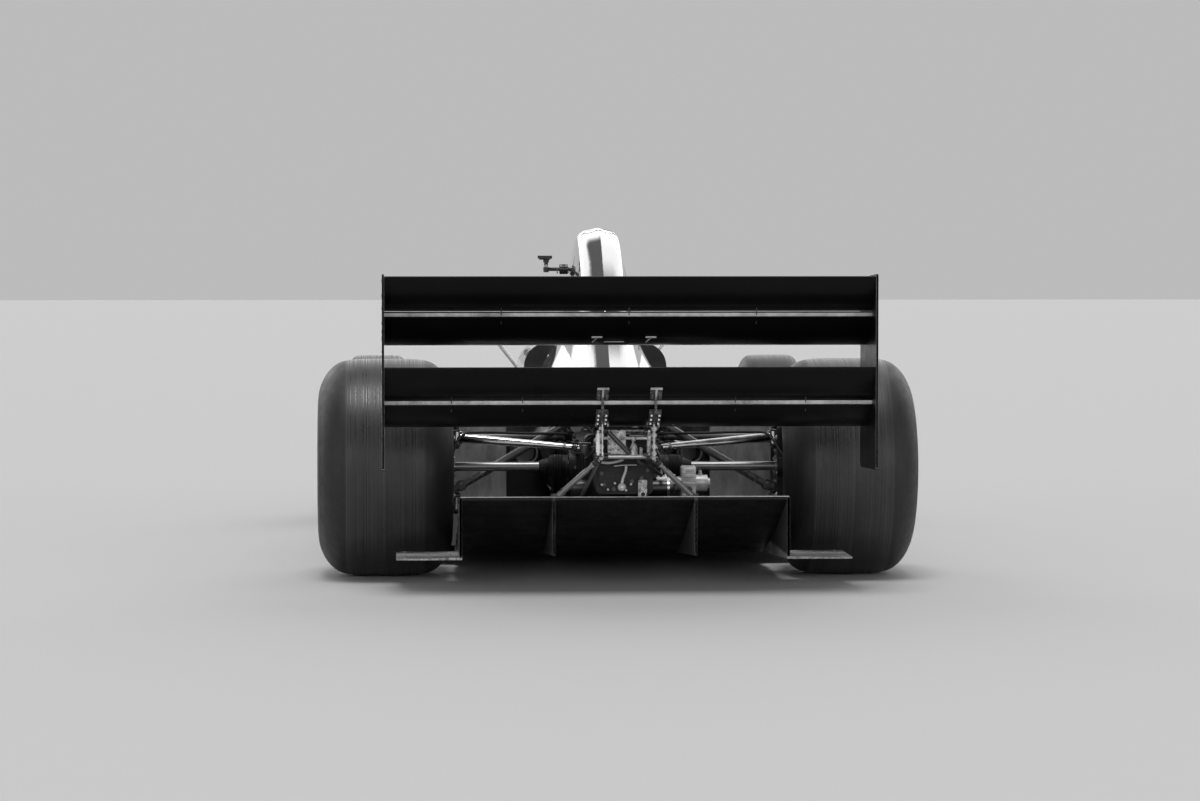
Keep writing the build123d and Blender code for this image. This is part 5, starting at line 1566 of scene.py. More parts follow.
class AddRearWingFittings(bpy.types.Operator):
    """Add the rear wing's lips, light strips in the slots as painted highlights, slot brackets, plate bolts, pins,
    braces and endplate screws
    """

    bl_idname = "car.add_rear_wing_fittings"
    bl_label = "Rear wing fittings"

    def execute(self, context):
        shape = Shape("edge_alloy")
        for tier in ("upper", "lower"):
            tail, up = on_chord(tier + "_flap", 0.0, 0.95, 0.0), chord(tier + "_flap")[1]
            shape.of("edge_alloy").block(tail - up * 0.0024, (2 * WING_HALF, 0.008, 0.002), 0.0006, X, up)
            # Above each main plane's trailing edge: a light strip, a painted highlight for the sky reflected in the
            # slot, and a dark strip above it
            tail = on_chord(tier + "_main", 0.0, 0.975, 0.0)
            shape.of("light_alloy").block(tail + Z * 0.0068, (2 * WING_HALF, 0.0016, 0.0118), 0.0006)
            shape.of("carbon_matt").block(tail + Z * 0.0146, (2 * WING_HALF, 0.0016, 0.0038), 0.0006)
        # Straps that hold the slots open
        shape.of("bracket_alloy")
        for tier, places in (("upper", (0.0, 0.36, -0.36)), ("lower", (0.3, -0.3, 0.5, -0.5))):
            for x in places:
                near, far = on_chord(tier + "_main", x, 0.93, -0.01), on_chord(tier + "_flap", x, 0.2, -0.014)
                shape.strip(near, far, 0.003, 0.012, 0.012)
        # Upper tier: a thin centre stay from the main plane's foot to the flap
        top, up = on_chord("upper_flap", -0.002, 0.3, -0.017), chord("upper_flap")[1]
        foot = on_chord("upper_main", -0.002, 0.62, -0.044)
        shape.of("dark_steel").bar(foot, top, 0.0012, 8)
        shape.block(top - up * 0.001, (0.032, 0.008, 0.004), 0.001, X, up)
        shape.of("light_alloy")
        up = chord("upper_main")[1]
        for x, lean in ((-0.066, 0.013), (0.087, 0.012)):
            low, _ = resting(on_chord("upper_main", x, 0.7, -0.08), up, "rear_wing_upper_main")
            shape.block(low - up * 0.002, (0.031, 0.01, 0.004), 0.001, X, up)
            tip = on_chord("upper_main", x + lean, 0.6, -0.05)
            shape.bar(low - X * 0.004, tip, 0.002, 8)
        near = on_chord("upper_main", 0.066, 0.6, -0.049)
        shape.bar(near, near - X * 0.057, 0.0018, 8)
        # Heads of the posts' plates on the lower flap
        up = chord("lower_flap")[1]
        for sign in (-1, 1):
            low = on_chord("lower_flap", sign * PILLAR_X, 0.375, -0.07)
            seat, _ = resting(low, up, "rear_wing_lower_flap")
            shape.of("pillar_steel").block(seat - up * 0.002, (0.034, 0.046, 0.004), 0.001, X, up)
            shape.of("light_alloy").block(seat - up * 0.005, (0.0055, 0.046, 0.004), 0.001, X, up)
            low = on_chord("lower_flap", sign * PILLAR_X, 0.545, -0.07)
            seat, _ = resting(low, up, "rear_wing_lower_flap")
            shape.block(seat - up * 0.003, (0.034, 0.005, 0.006), 0.001, X, up)
        # Pins through the heads of the posts, with their clips
        shape.of("bracket_alloy")
        for sign in (-1, 1):
            centre = at(sign * 0.072, -0.605, 0.476)
            shape.of("dark_steel").bar(centre - X * 0.016, centre + X * 0.016, 0.0065, 12)
            hex_bolt(shape.of("bolt_steel"), centre + X * 0.014, X, 0.0085, 0.006)
            hex_bolt(shape, centre - X * 0.014, -X, 0.0085, 0.006)
            for z in (0.392, 0.412, 0.444, 0.462):
                hex_bolt(shape, at(sign * PILLAR_X, -0.6185, z), Y, 0.005, 0.005)
        # Pull rods behind the posts, and the adjusters beside them
        for x in (0.0723, -0.0741):
            shape.of("pale_alloy").bar(at(x, PULL_RODS, 0.386), at(x, PULL_RODS, 0.485), 0.002, 10)
            shape.bar(at(x - 0.0105, PULL_RODS, 0.486), at(x + 0.0105, PULL_RODS, 0.486), 0.0027, 10)
        low, high, rear = 0.388, 0.455, -0.6275
        tall = high - low
        barrel = (
            (0, 0), (0, 0.004), (0.006, 0.004), (0.01, 0.0062), (tall - 0.01, 0.0062), (tall - 0.006, 0.004),
            (tall, 0.004), (tall, 0)
        )
        for x, sign, finish in ((0.0845, 1, "pale_alloy"), (-0.06, -1, "mottled_alloy")):
            shape.of(finish).turned(at(x, rear, low), Z, barrel, 20)
            shape.of("dark_steel")
            for z in (low, high):
                shape.block(at(x - sign * 0.004, rear + 0.006, z), (0.022, 0.014, 0.009), 0.002)
            hex_bolt(shape.of("bolt_steel"), at(x, rear - 0.004, high + 0.001), Y, 0.0042, 0.004, False)
        # Mottled plate between the cross tubes with its dark brace, and the filler bottle beside it
        corners = ((0.0555, 0.456, 0.002), (0.056, 0.3905, 0.008), (0.004, 0.3905, 0.002), (0.004, 0.456, 0.002))
        plate = rounded(corners, 3)
        shape.of("mottled_alloy").prism(standing(plate, -0.597), Y * 0.003)
        shape.of("dark_steel").bar(at(0.053, -0.605, 0.452), at(-0.0045, -0.605, 0.393), 0.0064, 12)
        shape.of("edge_alloy").bar(at(-0.006, -0.597, 0.4425), at(-0.054, -0.597, 0.4425), 0.0022, 12)
        bottle = (
            (0, 0), (0, 0.0125), (0.02, 0.0115), (0.03, 0.006), (0.034, 0.0044), (0.038, 0.0044), (0.041, 0.0064),
            (0.046, 0.0076), (0.051, 0.0064), (0.0535, 0)
        )
        shape.of("mottled_alloy").turned(at(-0.0185, -0.594, 0.387), Z, bottle, 24)
        shape.block(at(-0.04, -0.594, 0.398), (0.01, 0.008, 0.022), 0.002)
        shape.of("bright_edge").bar(at(-0.074, CROSS_TUBES, 0.383), at(0.074, CROSS_TUBES, 0.383), 0.0064, 14)
        shape.of("bracket_alloy")
        for z in (0.381, 0.456):
            for sign in (-1, 1):
                shape.ring(at(sign * 0.06, CROSS_TUBES, z), X, -0.006, 0.0058, 0.0098, 0.012, 18)
        # Stays: rod ends at the posts' feet and at the diffuser
        foot_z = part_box("diffuser")[1][2] - 0.006
        for sign in (-1, 1):
            head, foot = at(sign * PILLAR_X, CROSS_TUBES, 0.377), at(sign * STRAKE_X, -0.478, foot_z)
            run = (foot - head).normalized()
            rod_end(shape, head + run * 0.01, run, Y, 0.0068, 0.02)
            rod_end(shape, foot - run * 0.006, -run, Y, 0.0068, 0.02)
            shape.of("dark_steel")
            for near, far in ((0.02, 0.03), (0.036, 0.039)):
                shape.bar(head + run * near, head + run * far, 0.0076, 16)
            shape.bar(foot - run * 0.048, foot - run * 0.038, 0.0076, 16)
            for way in (-1, 1):
                shape.block(foot - run * 0.002 + Y * way * 0.0105 + Z * 0.005, (0.02, 0.003, 0.016), 0.001)
        shape.done("rear_wing_fittings", "chassis")
        self.add_plate_bolts()
        self.add_endplate_screws()
        return {"FINISHED"}

    def add_plate_bolts(self):
        """Two columns of bolts on each plate under the lower tier."""
        places = []
        for element, shares in (("lower_main", (0.74, 0.84, 0.94)), ("lower_flap", (0.12, 0.24, 0.36))):
            up = chord(element)[1]
            for share in shares:
                for sign in (-1, 1):
                    for side in (-0.011, 0.011):
                        low = on_chord(element, sign * PILLAR_X + side, share, -0.07)
                        place, _ = resting(low, up, "wing_pillars", "rear_wing_" + element)
                        places.append((place - up * 0.0015, -up))
        screwed("wing_plate_bolts", "bolt_steel", places, "screw", 0.005, Sides=6)

    def add_endplate_screws(self):
        """Screws through the endplates into the ends of each element, and rivets down the edges."""
        places = []
        for element, number in (("upper_main", 5), ("upper_flap", 3), ("lower_main", 5), ("lower_flap", 3)):
            places += end_screws(element, number, ENDPLATE_FACE, 0.1, 0.95)
        rivets = [(at(ENDPLATE_FACE, -0.757, 0.365 + 0.04 * k), X) for k in range(14)]
        rivets += [(at(ENDPLATE_FACE, -0.41 - 0.042 * k, 0.352), X) for k in range(9)]
        screwed("endplate_screws", "bolt_steel", both(places), "screw", 0.0024)
        screwed("endplate_rivets", "dark_steel", both(rivets), "rivet", 0.0018, Socket=0.4)
        middle, wide = 0.692, 0.0066
        shape = Shape("light_alloy")
        shape.block(at(middle, -0.7688, 0.626), (wide, 0.0014, 0.54), 0.0005)
        shape.block(at(middle, -0.582, 0.8955), (wide, 0.35, 0.0016), 0.0005, X, Vector((0, -13, 375)))
        shape.flipped().done("endplate_edges", "chassis")


# Distances from the centre plane of the diffuser's strakes, and of the angles on its side plates
STRAKE_X, PLATE_X = 0.204, 0.462


def roof_at(station):
    """The height of the diffuser roof's upper side."""
    start, run, low, rise, thick = 0.25, 0.75, 0.045, 0.208, 0.008
    share = (start - station) / run
    return low + rise * (0.72 * share + 0.28 * share * share) + thick


class AddDiffuserFittings(bpy.types.Operator):
    """Add the diffuser's lip, corner angles, rivets and the screws of its foot plates"""

    bl_idname = "car.add_diffuser_fittings"
    bl_label = "Diffuser fittings"

    def execute(self, context):
        shape = Shape("bright_edge")
        edge, behind = -0.4985, -0.499
        top = roof_at(-0.5)
        shape.block(at(0, edge, top + 0.0005), (0.944, 0.003, 0.003), 0.0008)
        for sign in (-1, 1):
            plate = at(sign * 0.471, behind, (0.087 + top) / 2)
            strake = at(sign * STRAKE_X, behind, 0.0425 + top / 2)
            shape.of("bright_edge").block(plate, (0.0082, 0.002, top - 0.09), 0.0006)
            shape.of("pale_alloy").block(strake, (0.0064, 0.002, top - 0.105), 0.0006)
            foot = [(sign * x, z) for x, z in ((0.476, 0.082), (0.476, 0.09), (0.64, 0.0842), (0.64, 0.0818))]
            shape.of("mottled_alloy").prism(standing(foot, edge), Y * 0.0018)
        # Angles along the strakes and the side plates, above and below the roof
        shape.of("carbon_matt")
        for x in (STRAKE_X, PLATE_X, -STRAKE_X, -PLATE_X):
            path = [at(x, s, roof_at(s) + 0.0008) for s in (-0.49, -0.38, -0.26, -0.14, -0.02, 0.1)]
            for near, far in zip(path, path[1:]):
                shape.strip(near, far, 0.026, 0.002, 0.0022, 0.0006)
        shape.done("diffuser_angles", "chassis")
        row = [-0.48 + 0.046 * k for k in range(13)]
        columns = (STRAKE_X - 0.008, STRAKE_X + 0.008, PLATE_X - 0.008, PLATE_X + 0.008)
        rivets = [(at(x, s, roof_at(s) + 0.0022), Z) for x in columns for s in row]
        rivets += [(at(0.02 + 0.0235 * k, -0.486, roof_at(-0.486) + 0.0006), Z) for k in range(19)]
        screws = [(at(x, s, 0.0872), Z) for x in (0.5, 0.56, 0.63) for s in (-0.48, -0.37, -0.255)]
        for s in (-0.46, -0.36, -0.26, -0.16, -0.06):
            screws.append((at(0.4752, s, min(roof_at(s) - 0.012, 0.235)), X))
        screwed("diffuser_rivets", "edge_alloy", both(rivets), "rivet", 0.0016, Socket=0.4)
        screwed("diffuser_screws", "bolt_steel", both(screws), "screw", 0.0024)
        return {"FINISHED"}


# Station of the pods' rear ends, where their painted reflection starts
POD_TAIL = 0.3705


def round_body(centre, angles, reach, node):
    """Points on a node where lines towards a centre meet it, one for each angle from +X towards +Z."""
    outward = [X * math.cos(math.radians(angle)) + Z * math.sin(math.radians(angle)) for angle in angles]
    return [resting(centre + out * reach, -out, node)[0] for out in outward]


class AddBodyFasteners(bpy.types.Operator):
    """Add the quarter turn studs and seams of the cover, the pods, the nose and the hatch over the pedals"""

    bl_idname = "car.add_body_fasteners"
    bl_label = "Body studs and seams"

    def execute(self, context):
        studs, rivets = [], []
        for k in range(7):
            studs.append(resting(at(0.9, 0.235 + 0.135 * k, 0.485), -X, "engine_cover"))
        for z in (0.62, 0.76, 0.9):
            studs.append(resting(at(0.9, 1.085, z), -X, "engine_cover"))
        for k in range(7):
            studs.append(resting(at(0.338, 0.44 + 0.21 * k, 0.9), -Z, "side_pod_left"))
            studs.append(resting(at(1.2, 0.42 + 0.22 * k, 0.098), -X, "side_pod_left"))
        for z in (0.15, 0.24, 0.33):
            studs.append(resting(at(0.6, 2.975, z), -X, "nose_cone"))
        studs.append(resting(at(0.07, 2.975, 0.9), -Z, "nose_cone"))
        for s in (2.462, 2.6, 2.738):
            studs.append(resting(at(0.088, s, 0.9), -Z, "tub"))
        for k in range(11):
            rivets.append(resting(at(0.9, 1.86 + 0.1 * k, 0.082), -X, "tub"))
        around = (
            (0.335, 0.395), (0.43, 0.42), (0.53, 0.42), (0.62, 0.37), (0.655, 0.22), (0.655, 0.1), (0.5, 0.085),
            (0.335, 0.085)
        )
        rear_face = [(place, Y) for place in standing(around, POD_TAIL - 0.001)]
        screwed("body_studs", "bolt_steel", both(studs), "stud", 0.0026, Socket=0.62, Sides=14)
        screwed("tub_rivets", "dark_steel", both(rivets), "rivet", 0.0016)
        screwed("pod_end_screws", "bolt_steel", both(rear_face), "screw", 0.0024)
        seams = [round_body(at(0.5, s, 0.26), range(-20, 126, 8), 0.9, "side_pod_left") for s in (1.42, 0.62)]
        hatch = [(0.1, 2.44), (0.1, 2.76), (-0.1, 2.76), (-0.1, 2.44), (0.1, 2.44)]
        outline = []
        for (x0, s0), (x1, s1) in zip(hatch, hatch[1:]):
            for k in range(8):
                above = at(x0 + (x1 - x0) * k / 8, s0 + (s1 - s0) * k / 8, 0.9)
                outline.append(resting(above, -Z, "tub")[0])
        outline.append(outline[0])
        ridge = round_body(at(0, 0.93, 0.62), range(-6, 187, 8), 0.8, "engine_cover")
        lines = [*both_paths(seams), outline, ridge]
        drawn("hoses", "panel_seams", "chassis", "rubber", lines, Radius=0.0011, Sides=6, Step=0.02)
        return {"FINISHED"}


class AddInletFittings(bpy.types.Operator):
    """Add the lips and gauzes of the air inlet and the cooling ducts, with the coolers' frames and fins"""

    bl_idname = "car.add_inlet_fittings"
    bl_label = "Inlets and coolers"

    def execute(self, context):
        corners = ((0.0418, 0.992), (0.058, 0.812), (-0.058, 0.812), (-0.0418, 0.992))
        mouth = rounded([(*corner, 0.04) for corner in corners], 6)
        ducts = oblong(0.626, 0.338, 0.254, 0.094, 0.03, 6)
        lips = [standing([*mouth, mouth[0]], 1.2685), *both_paths([standing([*ducts, ducts[0]], 1.7985)])]
        drawn("hoses", "duct_lips", "chassis", "rubber", lips, Radius=0.0036, Step=0.012)
        repeated(
            "slats", "inlet_gauze_level", "chassis", "edge_alloy", [(at(0, 1.105, 0.826), Z)], Count=20,
            Pitch=0.008, Across=0.0012, Depth=0.0012, Height=0.1
        )
        repeated(
            "slats", "inlet_gauze_upright", "chassis", "edge_alloy", [(at(-0.036, 1.1065, 0.902), X)], Count=10,
            Pitch=0.008, Across=0.0012, Depth=0.0012, Height=0.16
        )
        low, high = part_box("radiator_left")
        front = low[1] - 0.0015
        middle = Vector(((low[0] + high[0]) / 2, front, (low[2] + high[2]) / 2))
        wide, tall = high[0] - low[0], high[2] - low[2]
        frame_width, fin_pitch, tube_pitch = 0.03, 0.0065, 0.013
        core_wide, core_tall = wide - frame_width, tall - frame_width
        fins = both([(Vector((low[0] + 0.016, front, middle.z)), X)])
        repeated(
            "slats", "cooler_fins", "chassis", "radiator_core", fins, Count=int(core_wide / fin_pitch),
            Pitch=fin_pitch, Across=0.0008, Depth=0.004, Height=core_tall
        )
        tubes = both([(Vector((middle.x, front - 0.001, low[2] + 0.02)), Z)])
        repeated(
            "slats", "cooler_tubes", "chassis", "edge_alloy", tubes, Count=int(core_tall / tube_pitch),
            Pitch=tube_pitch, Across=0.0022, Depth=0.004, Height=core_wide
        )
        shape = Shape("edge_alloy")
        for x in (low[0] + 0.006, high[0] - 0.006):
            shape.block(Vector((x, front - 0.002, middle.z)), (0.012, 0.012, tall), 0.002)
        for z in (low[2] + 0.006, high[2] - 0.006):
            shape.block(Vector((middle.x, front - 0.002, z)), (wide, 0.012, 0.012), 0.002)
        neck = ((0, 0), (0, 0.017), (0.028, 0.017), (0.029, 0.019), (0.033, 0.019), (0.034, 0.0))
        shape.of("arm_steel")
        for z in (low[2] + 0.035, high[2] - 0.035):
            shape.turned(Vector((low[0] + 0.035, high[1] - 0.002, z)), Y, neck, 20)
        shape.flipped().done("cooler_frames", "chassis")
        return {"FINISHED"}


class AddExhaustFittings(bpy.types.Operator):
    """Add weld beads, slip joints, end rings and clamps to the exhausts"""

    bl_idname = "car.add_exhaust_fittings"
    bl_label = "Exhaust clamps"

    def execute(self, context):
        front, rear = through((0.252, 1.01, 0.318), (0.252, 0.3, 0.348))
        along = (rear - front).normalized()
        run = (rear - front).length
        shape = Shape("exhaust_steel")
        for share in (0.02, 0.2, 0.38, 0.56, 0.78, 0.9):
            turns = (0.0, 1.05, 2.09, 3.14, 4.19, 5.24)
            bead = [(run * share + 0.0022 * math.cos(a), 0.0308 + 0.0022 * math.sin(a)) for a in turns]
            shape.turned(front, along, bead, 40, closed=True)
        shape.ring(front, along, run * 0.8, 0.0305, 0.0338, 0.05, 40)
        shape.ring(front, along, run - 0.01, 0.0283, 0.0335, 0.0095, 40)
        shape.of("bolt_steel")
        for reach in (run * 0.8 + 0.01, run * 0.8 + 0.036):
            shape.ring(front, along, reach, 0.0332, 0.035, 0.009, 40)
            place = front + along * (reach + 0.0045) + Z * 0.0385
            shape.block(place, (0.02, 0.009, 0.009), 0.001)
            shape.bar(place - X * 0.016, place + X * 0.016, 0.0026, 8)
        shape.flipped().done("exhaust_clamps", "chassis")
        return {"FINISHED"}


class AddFloorFittings(bpy.types.Operator):
    """Add the skids and screws under the floor, and the engine's bolts and trumpets"""

    bl_idname = "car.add_floor_fittings"
    bl_label = "Floor skids and screws"

    def execute(self, context):
        shape = Shape("edge_alloy")
        for start, end in ((0.3, 0.62), (0.66, 0.98), (1.02, 1.34), (1.38, 1.7)):
            shape.block(at(0.125, (start + end) / 2, 0.0432), (0.038, end - start, 0.0052), 0.0012)
        shape.flipped().done("floor_skids", "chassis")
        screws = []
        for x, z, first in ((0.112, 0.0404, 0), (0.138, 0.0404, 0), (0.33, 0.0448, 1), (0.64, 0.0448, 1)):
            screws += [(at(x, 0.325 + 0.165 * k, z), -Z) for k in range(first, 9)]
        screwed("floor_screws", "bolt_steel", both(screws), "screw", 0.0018)
        bolts = []
        for k in range(8):
            s = 0.48 + 0.088 * k
            bolts.append(resting(at(0.132, s, 0.9), -Z, "engine"))
            bolts.append(resting(at(0.6, s, 0.2), -X, "engine"))
        screwed("engine_bolts", "bolt_steel", both(bolts), "bolt", 0.006, Sides=6)
        shape = Shape("engine_cast")
        trumpet = ((-0.002, 0), (-0.002, 0.026), (0.024, 0.024), (0.028, 0.03), (0.036, 0.03), (0.036, 0.0))
        for k in range(4):
            s = 0.53 + 0.115 * k
            place, _ = resting(at(0.105, s, 0.9), -Z, "engine")
            shape.turned(place, Z, trumpet, 24)
        shape.flipped().done("engine_trumpets", "chassis")
        return {"FINISHED"}


def strap(shape, path, wide, across, faces):
    """A flat belt along points, its width along across and its faces along the given directions."""
    rings, thick = [], 0.0022
    for p, face in zip(path, faces):
        side, up = across * (wide / 2), face.normalized() * (thick / 2)
        rings.append([p + side + up, p - side + up, p - side - up, p + side - up])
    return shape.skin(rings)


def swollen(name, block, swell):
    """A padded piece of the cockpit: cloth under pressure swells a smaller block, by no more than swell."""
    scene = bpy.context.scene
    piece = Shape("pad").block(*block).done(name, "chassis", angle=180.0)
    even = piece.modifiers.new("even", "REMESH")
    even.mode, even.voxel_size = "VOXEL", 0.006
    graph = bpy.context.evaluated_depsgraph_get()
    piece.data = bpy.data.meshes.new_from_object(piece.evaluated_get(graph), depsgraph=graph)
    piece.modifiers.clear()
    start = [v.co.copy() for v in piece.data.vertices]
    cloth = piece.modifiers.new("swell", "CLOTH")
    cloth.settings.use_pressure = True
    cloth.settings.uniform_pressure_force = 4.0
    cloth.settings.effector_weights.gravity = 0.0
    cloth.point_cache.frame_start, cloth.point_cache.frame_end = 1, 20
    for number in range(1, 21):
        scene.frame_set(number)
    graph = bpy.context.evaluated_depsgraph_get()
    grown = [v.co.copy() for v in piece.evaluated_get(graph).data.vertices]
    piece.modifiers.clear()
    scene.frame_set(1)
    for vertex, before, after in zip(piece.data.vertices, start, grown):
        move = after - before
        if move.length > swell:
            move = move.normalized() * swell
        vertex.co = before + move
    fine = piece.modifiers.new("fine", "SUBSURF")
    fine.levels = fine.render_levels = 1
    graph = bpy.context.evaluated_depsgraph_get()
    data = bpy.data.meshes.new_from_object(piece.evaluated_get(graph), depsgraph=graph)
    piece.modifiers.clear()
    piece.data = data
    data.name = name
    data.materials.clear()
    data.materials.append(material("pad"))
    data.shade_smooth()
    SURFACES[name] = BVHTree.FromPolygons([v.co for v in data.vertices], [tuple(p.vertices) for p in data.polygons])
    return piece


# Seat back: from the fold of the seat to its top, with the directions along it and away from it
SEAT_FOLD, SEAT_HEAD = at(0, 1.7, 0.112), at(0, 1.376, 0.5224)
SEAT_LENGTH = 0.5228
SEAT_UP = (SEAT_HEAD - SEAT_FOLD).normalized()
SEAT_OUT = X.cross(SEAT_UP).normalized() if X.cross(SEAT_UP).z > 0 else SEAT_UP.cross(X).normalized()


class AddCockpitPads(bpy.types.Operator):
    """Add the seat's back and base cushions, the headrest and the side pads, swollen as cloth"""

    bl_idname = "car.add_cockpit_pads"
    bl_label = "Cockpit pads"

    def execute(self, context):
        back = (SEAT_FOLD + SEAT_UP * 0.27 + SEAT_OUT * 0.0165, (0.27, 0.02, 0.43), 0.008, X, SEAT_UP)
        swollen("seat_back_pad", back, 0.007)
        base = (at(0, 1.812, 0.112 + 0.015), (0.27, 0.2, 0.018), 0.008)
        swollen("seat_base_pad", base, 0.007)
        rest = (at(0, 1.374, 0.598), (0.19, 0.036, 0.092), 0.012)
        swollen("headrest", rest, 0.009)
        for side, sign in SIDES:
            pad = (at(sign * 0.158, 1.61, 0.622), (0.018, 0.3, 0.04), 0.008)
            swollen(f"side_pad_{side}", pad, 0.006)
        seams = []
        for x in (-0.085, 0.085):
            above = SEAT_FOLD + X * x + SEAT_OUT * 0.2
            line = [above + SEAT_UP * (0.08 + 0.0127 * k) for k in range(31)]
            seams.append([resting(point, -SEAT_OUT, "seat_back_pad")[0] for point in line])
        for x in (-0.085, 0.085):
            seams.append([resting(at(x, 1.735 + 0.0085 * k, 0.3), -Z, "seat_base_pad")[0] for k in range(19)])
        seams.append([resting(at(-0.085 + 0.0085 * k, 1.6, 0.628), Y, "headrest")[0] for k in range(21)])
        drawn("stitches", "pad_stitches", "chassis", "edge_alloy", seams)
        return {"FINISHED"}


class AddBelts(bpy.types.Operator):
    """Lay the shoulder, lap and crotch belts on the seat with their adjusters and buckle"""

    bl_idname = "car.add_belts"
    bl_label = "Belts"

    def execute(self, context):
        wide = context.scene.car_cockpit.belt
        lift = 0.0365
        buckle = SEAT_FOLD + SEAT_UP * 0.1 + SEAT_OUT * (lift + 0.009)
        shape = Shape("belt")
        for sign in (-1, 1):
            points, faces = [], []
            for share in (0.92, 0.8, 0.64, 0.46, 0.3, 0.19):
                spread_x = 0.03 + 0.045 * min(1.0, max(0.0, (share - 0.1) / 0.5))
                points.append(SEAT_FOLD + SEAT_UP * (SEAT_LENGTH * share) + SEAT_OUT * lift + X * sign * spread_x)
                faces.append(SEAT_OUT)
            over = through(
                (sign * 0.074, 1.3425, 0.5375), (sign * 0.075, 1.362, 0.5395), (sign * 0.075, 1.388, 0.527)
            )
            points = [*over, *points]
            faces = [Z, Z, (Z + SEAT_OUT), *faces]
            strap(shape, points, wide * 0.78, X, faces)
            place = SEAT_FOLD + SEAT_UP * (SEAT_LENGTH * 0.4) + SEAT_OUT * (lift + 0.003) + X * sign * 0.065
            shape.of("bolt_steel").block(place, (0.062, 0.006, 0.03), 0.001, X, SEAT_UP).of("belt")
            lap = through((sign * 0.158, 1.64, 0.15), (sign * 0.14, 1.655, 0.17), (sign * 0.095, 1.672, 0.19))
            faces = [SEAT_OUT + X * sign * 0.4, SEAT_OUT + X * sign * 0.3, SEAT_OUT, SEAT_OUT]
            strap(shape, [*lap, buckle + X * sign * 0.03], wide * 0.7, SEAT_UP, faces)
            crotch = through(
                (sign * 0.024, 1.8, 0.1405), (sign * 0.022, 1.755, 0.1455), (sign * 0.02, 1.715, 0.162)
            )
            crotch.append(buckle + X * sign * 0.012 - SEAT_UP * 0.02)
            strap(shape, crotch, wide * 0.42, X, [Z, Z, SEAT_OUT + Z, SEAT_OUT])
        case = ((0, 0), (0, 0.034), (0.006, 0.034), (0.009, 0.03), (0.016, 0.028), (0.018, 0.025), (0.018, 0))
        shape.of("bolt_steel").turned(buckle - SEAT_OUT * 0.005, SEAT_OUT, case, 32)
        shape.of("dark_steel").block(buckle + SEAT_OUT * 0.0135, (0.05, 0.004, 0.012), 0.0015, X, SEAT_UP)
        for sign in (-1, 1):
            for way in (-0.014, 0.014):
                shape.block(buckle + X * sign * 0.036 + SEAT_UP * way, (0.022, 0.004, 0.02), 0.001, X, SEAT_UP)
        shape.done("belts", "chassis")
        return {"FINISHED"}


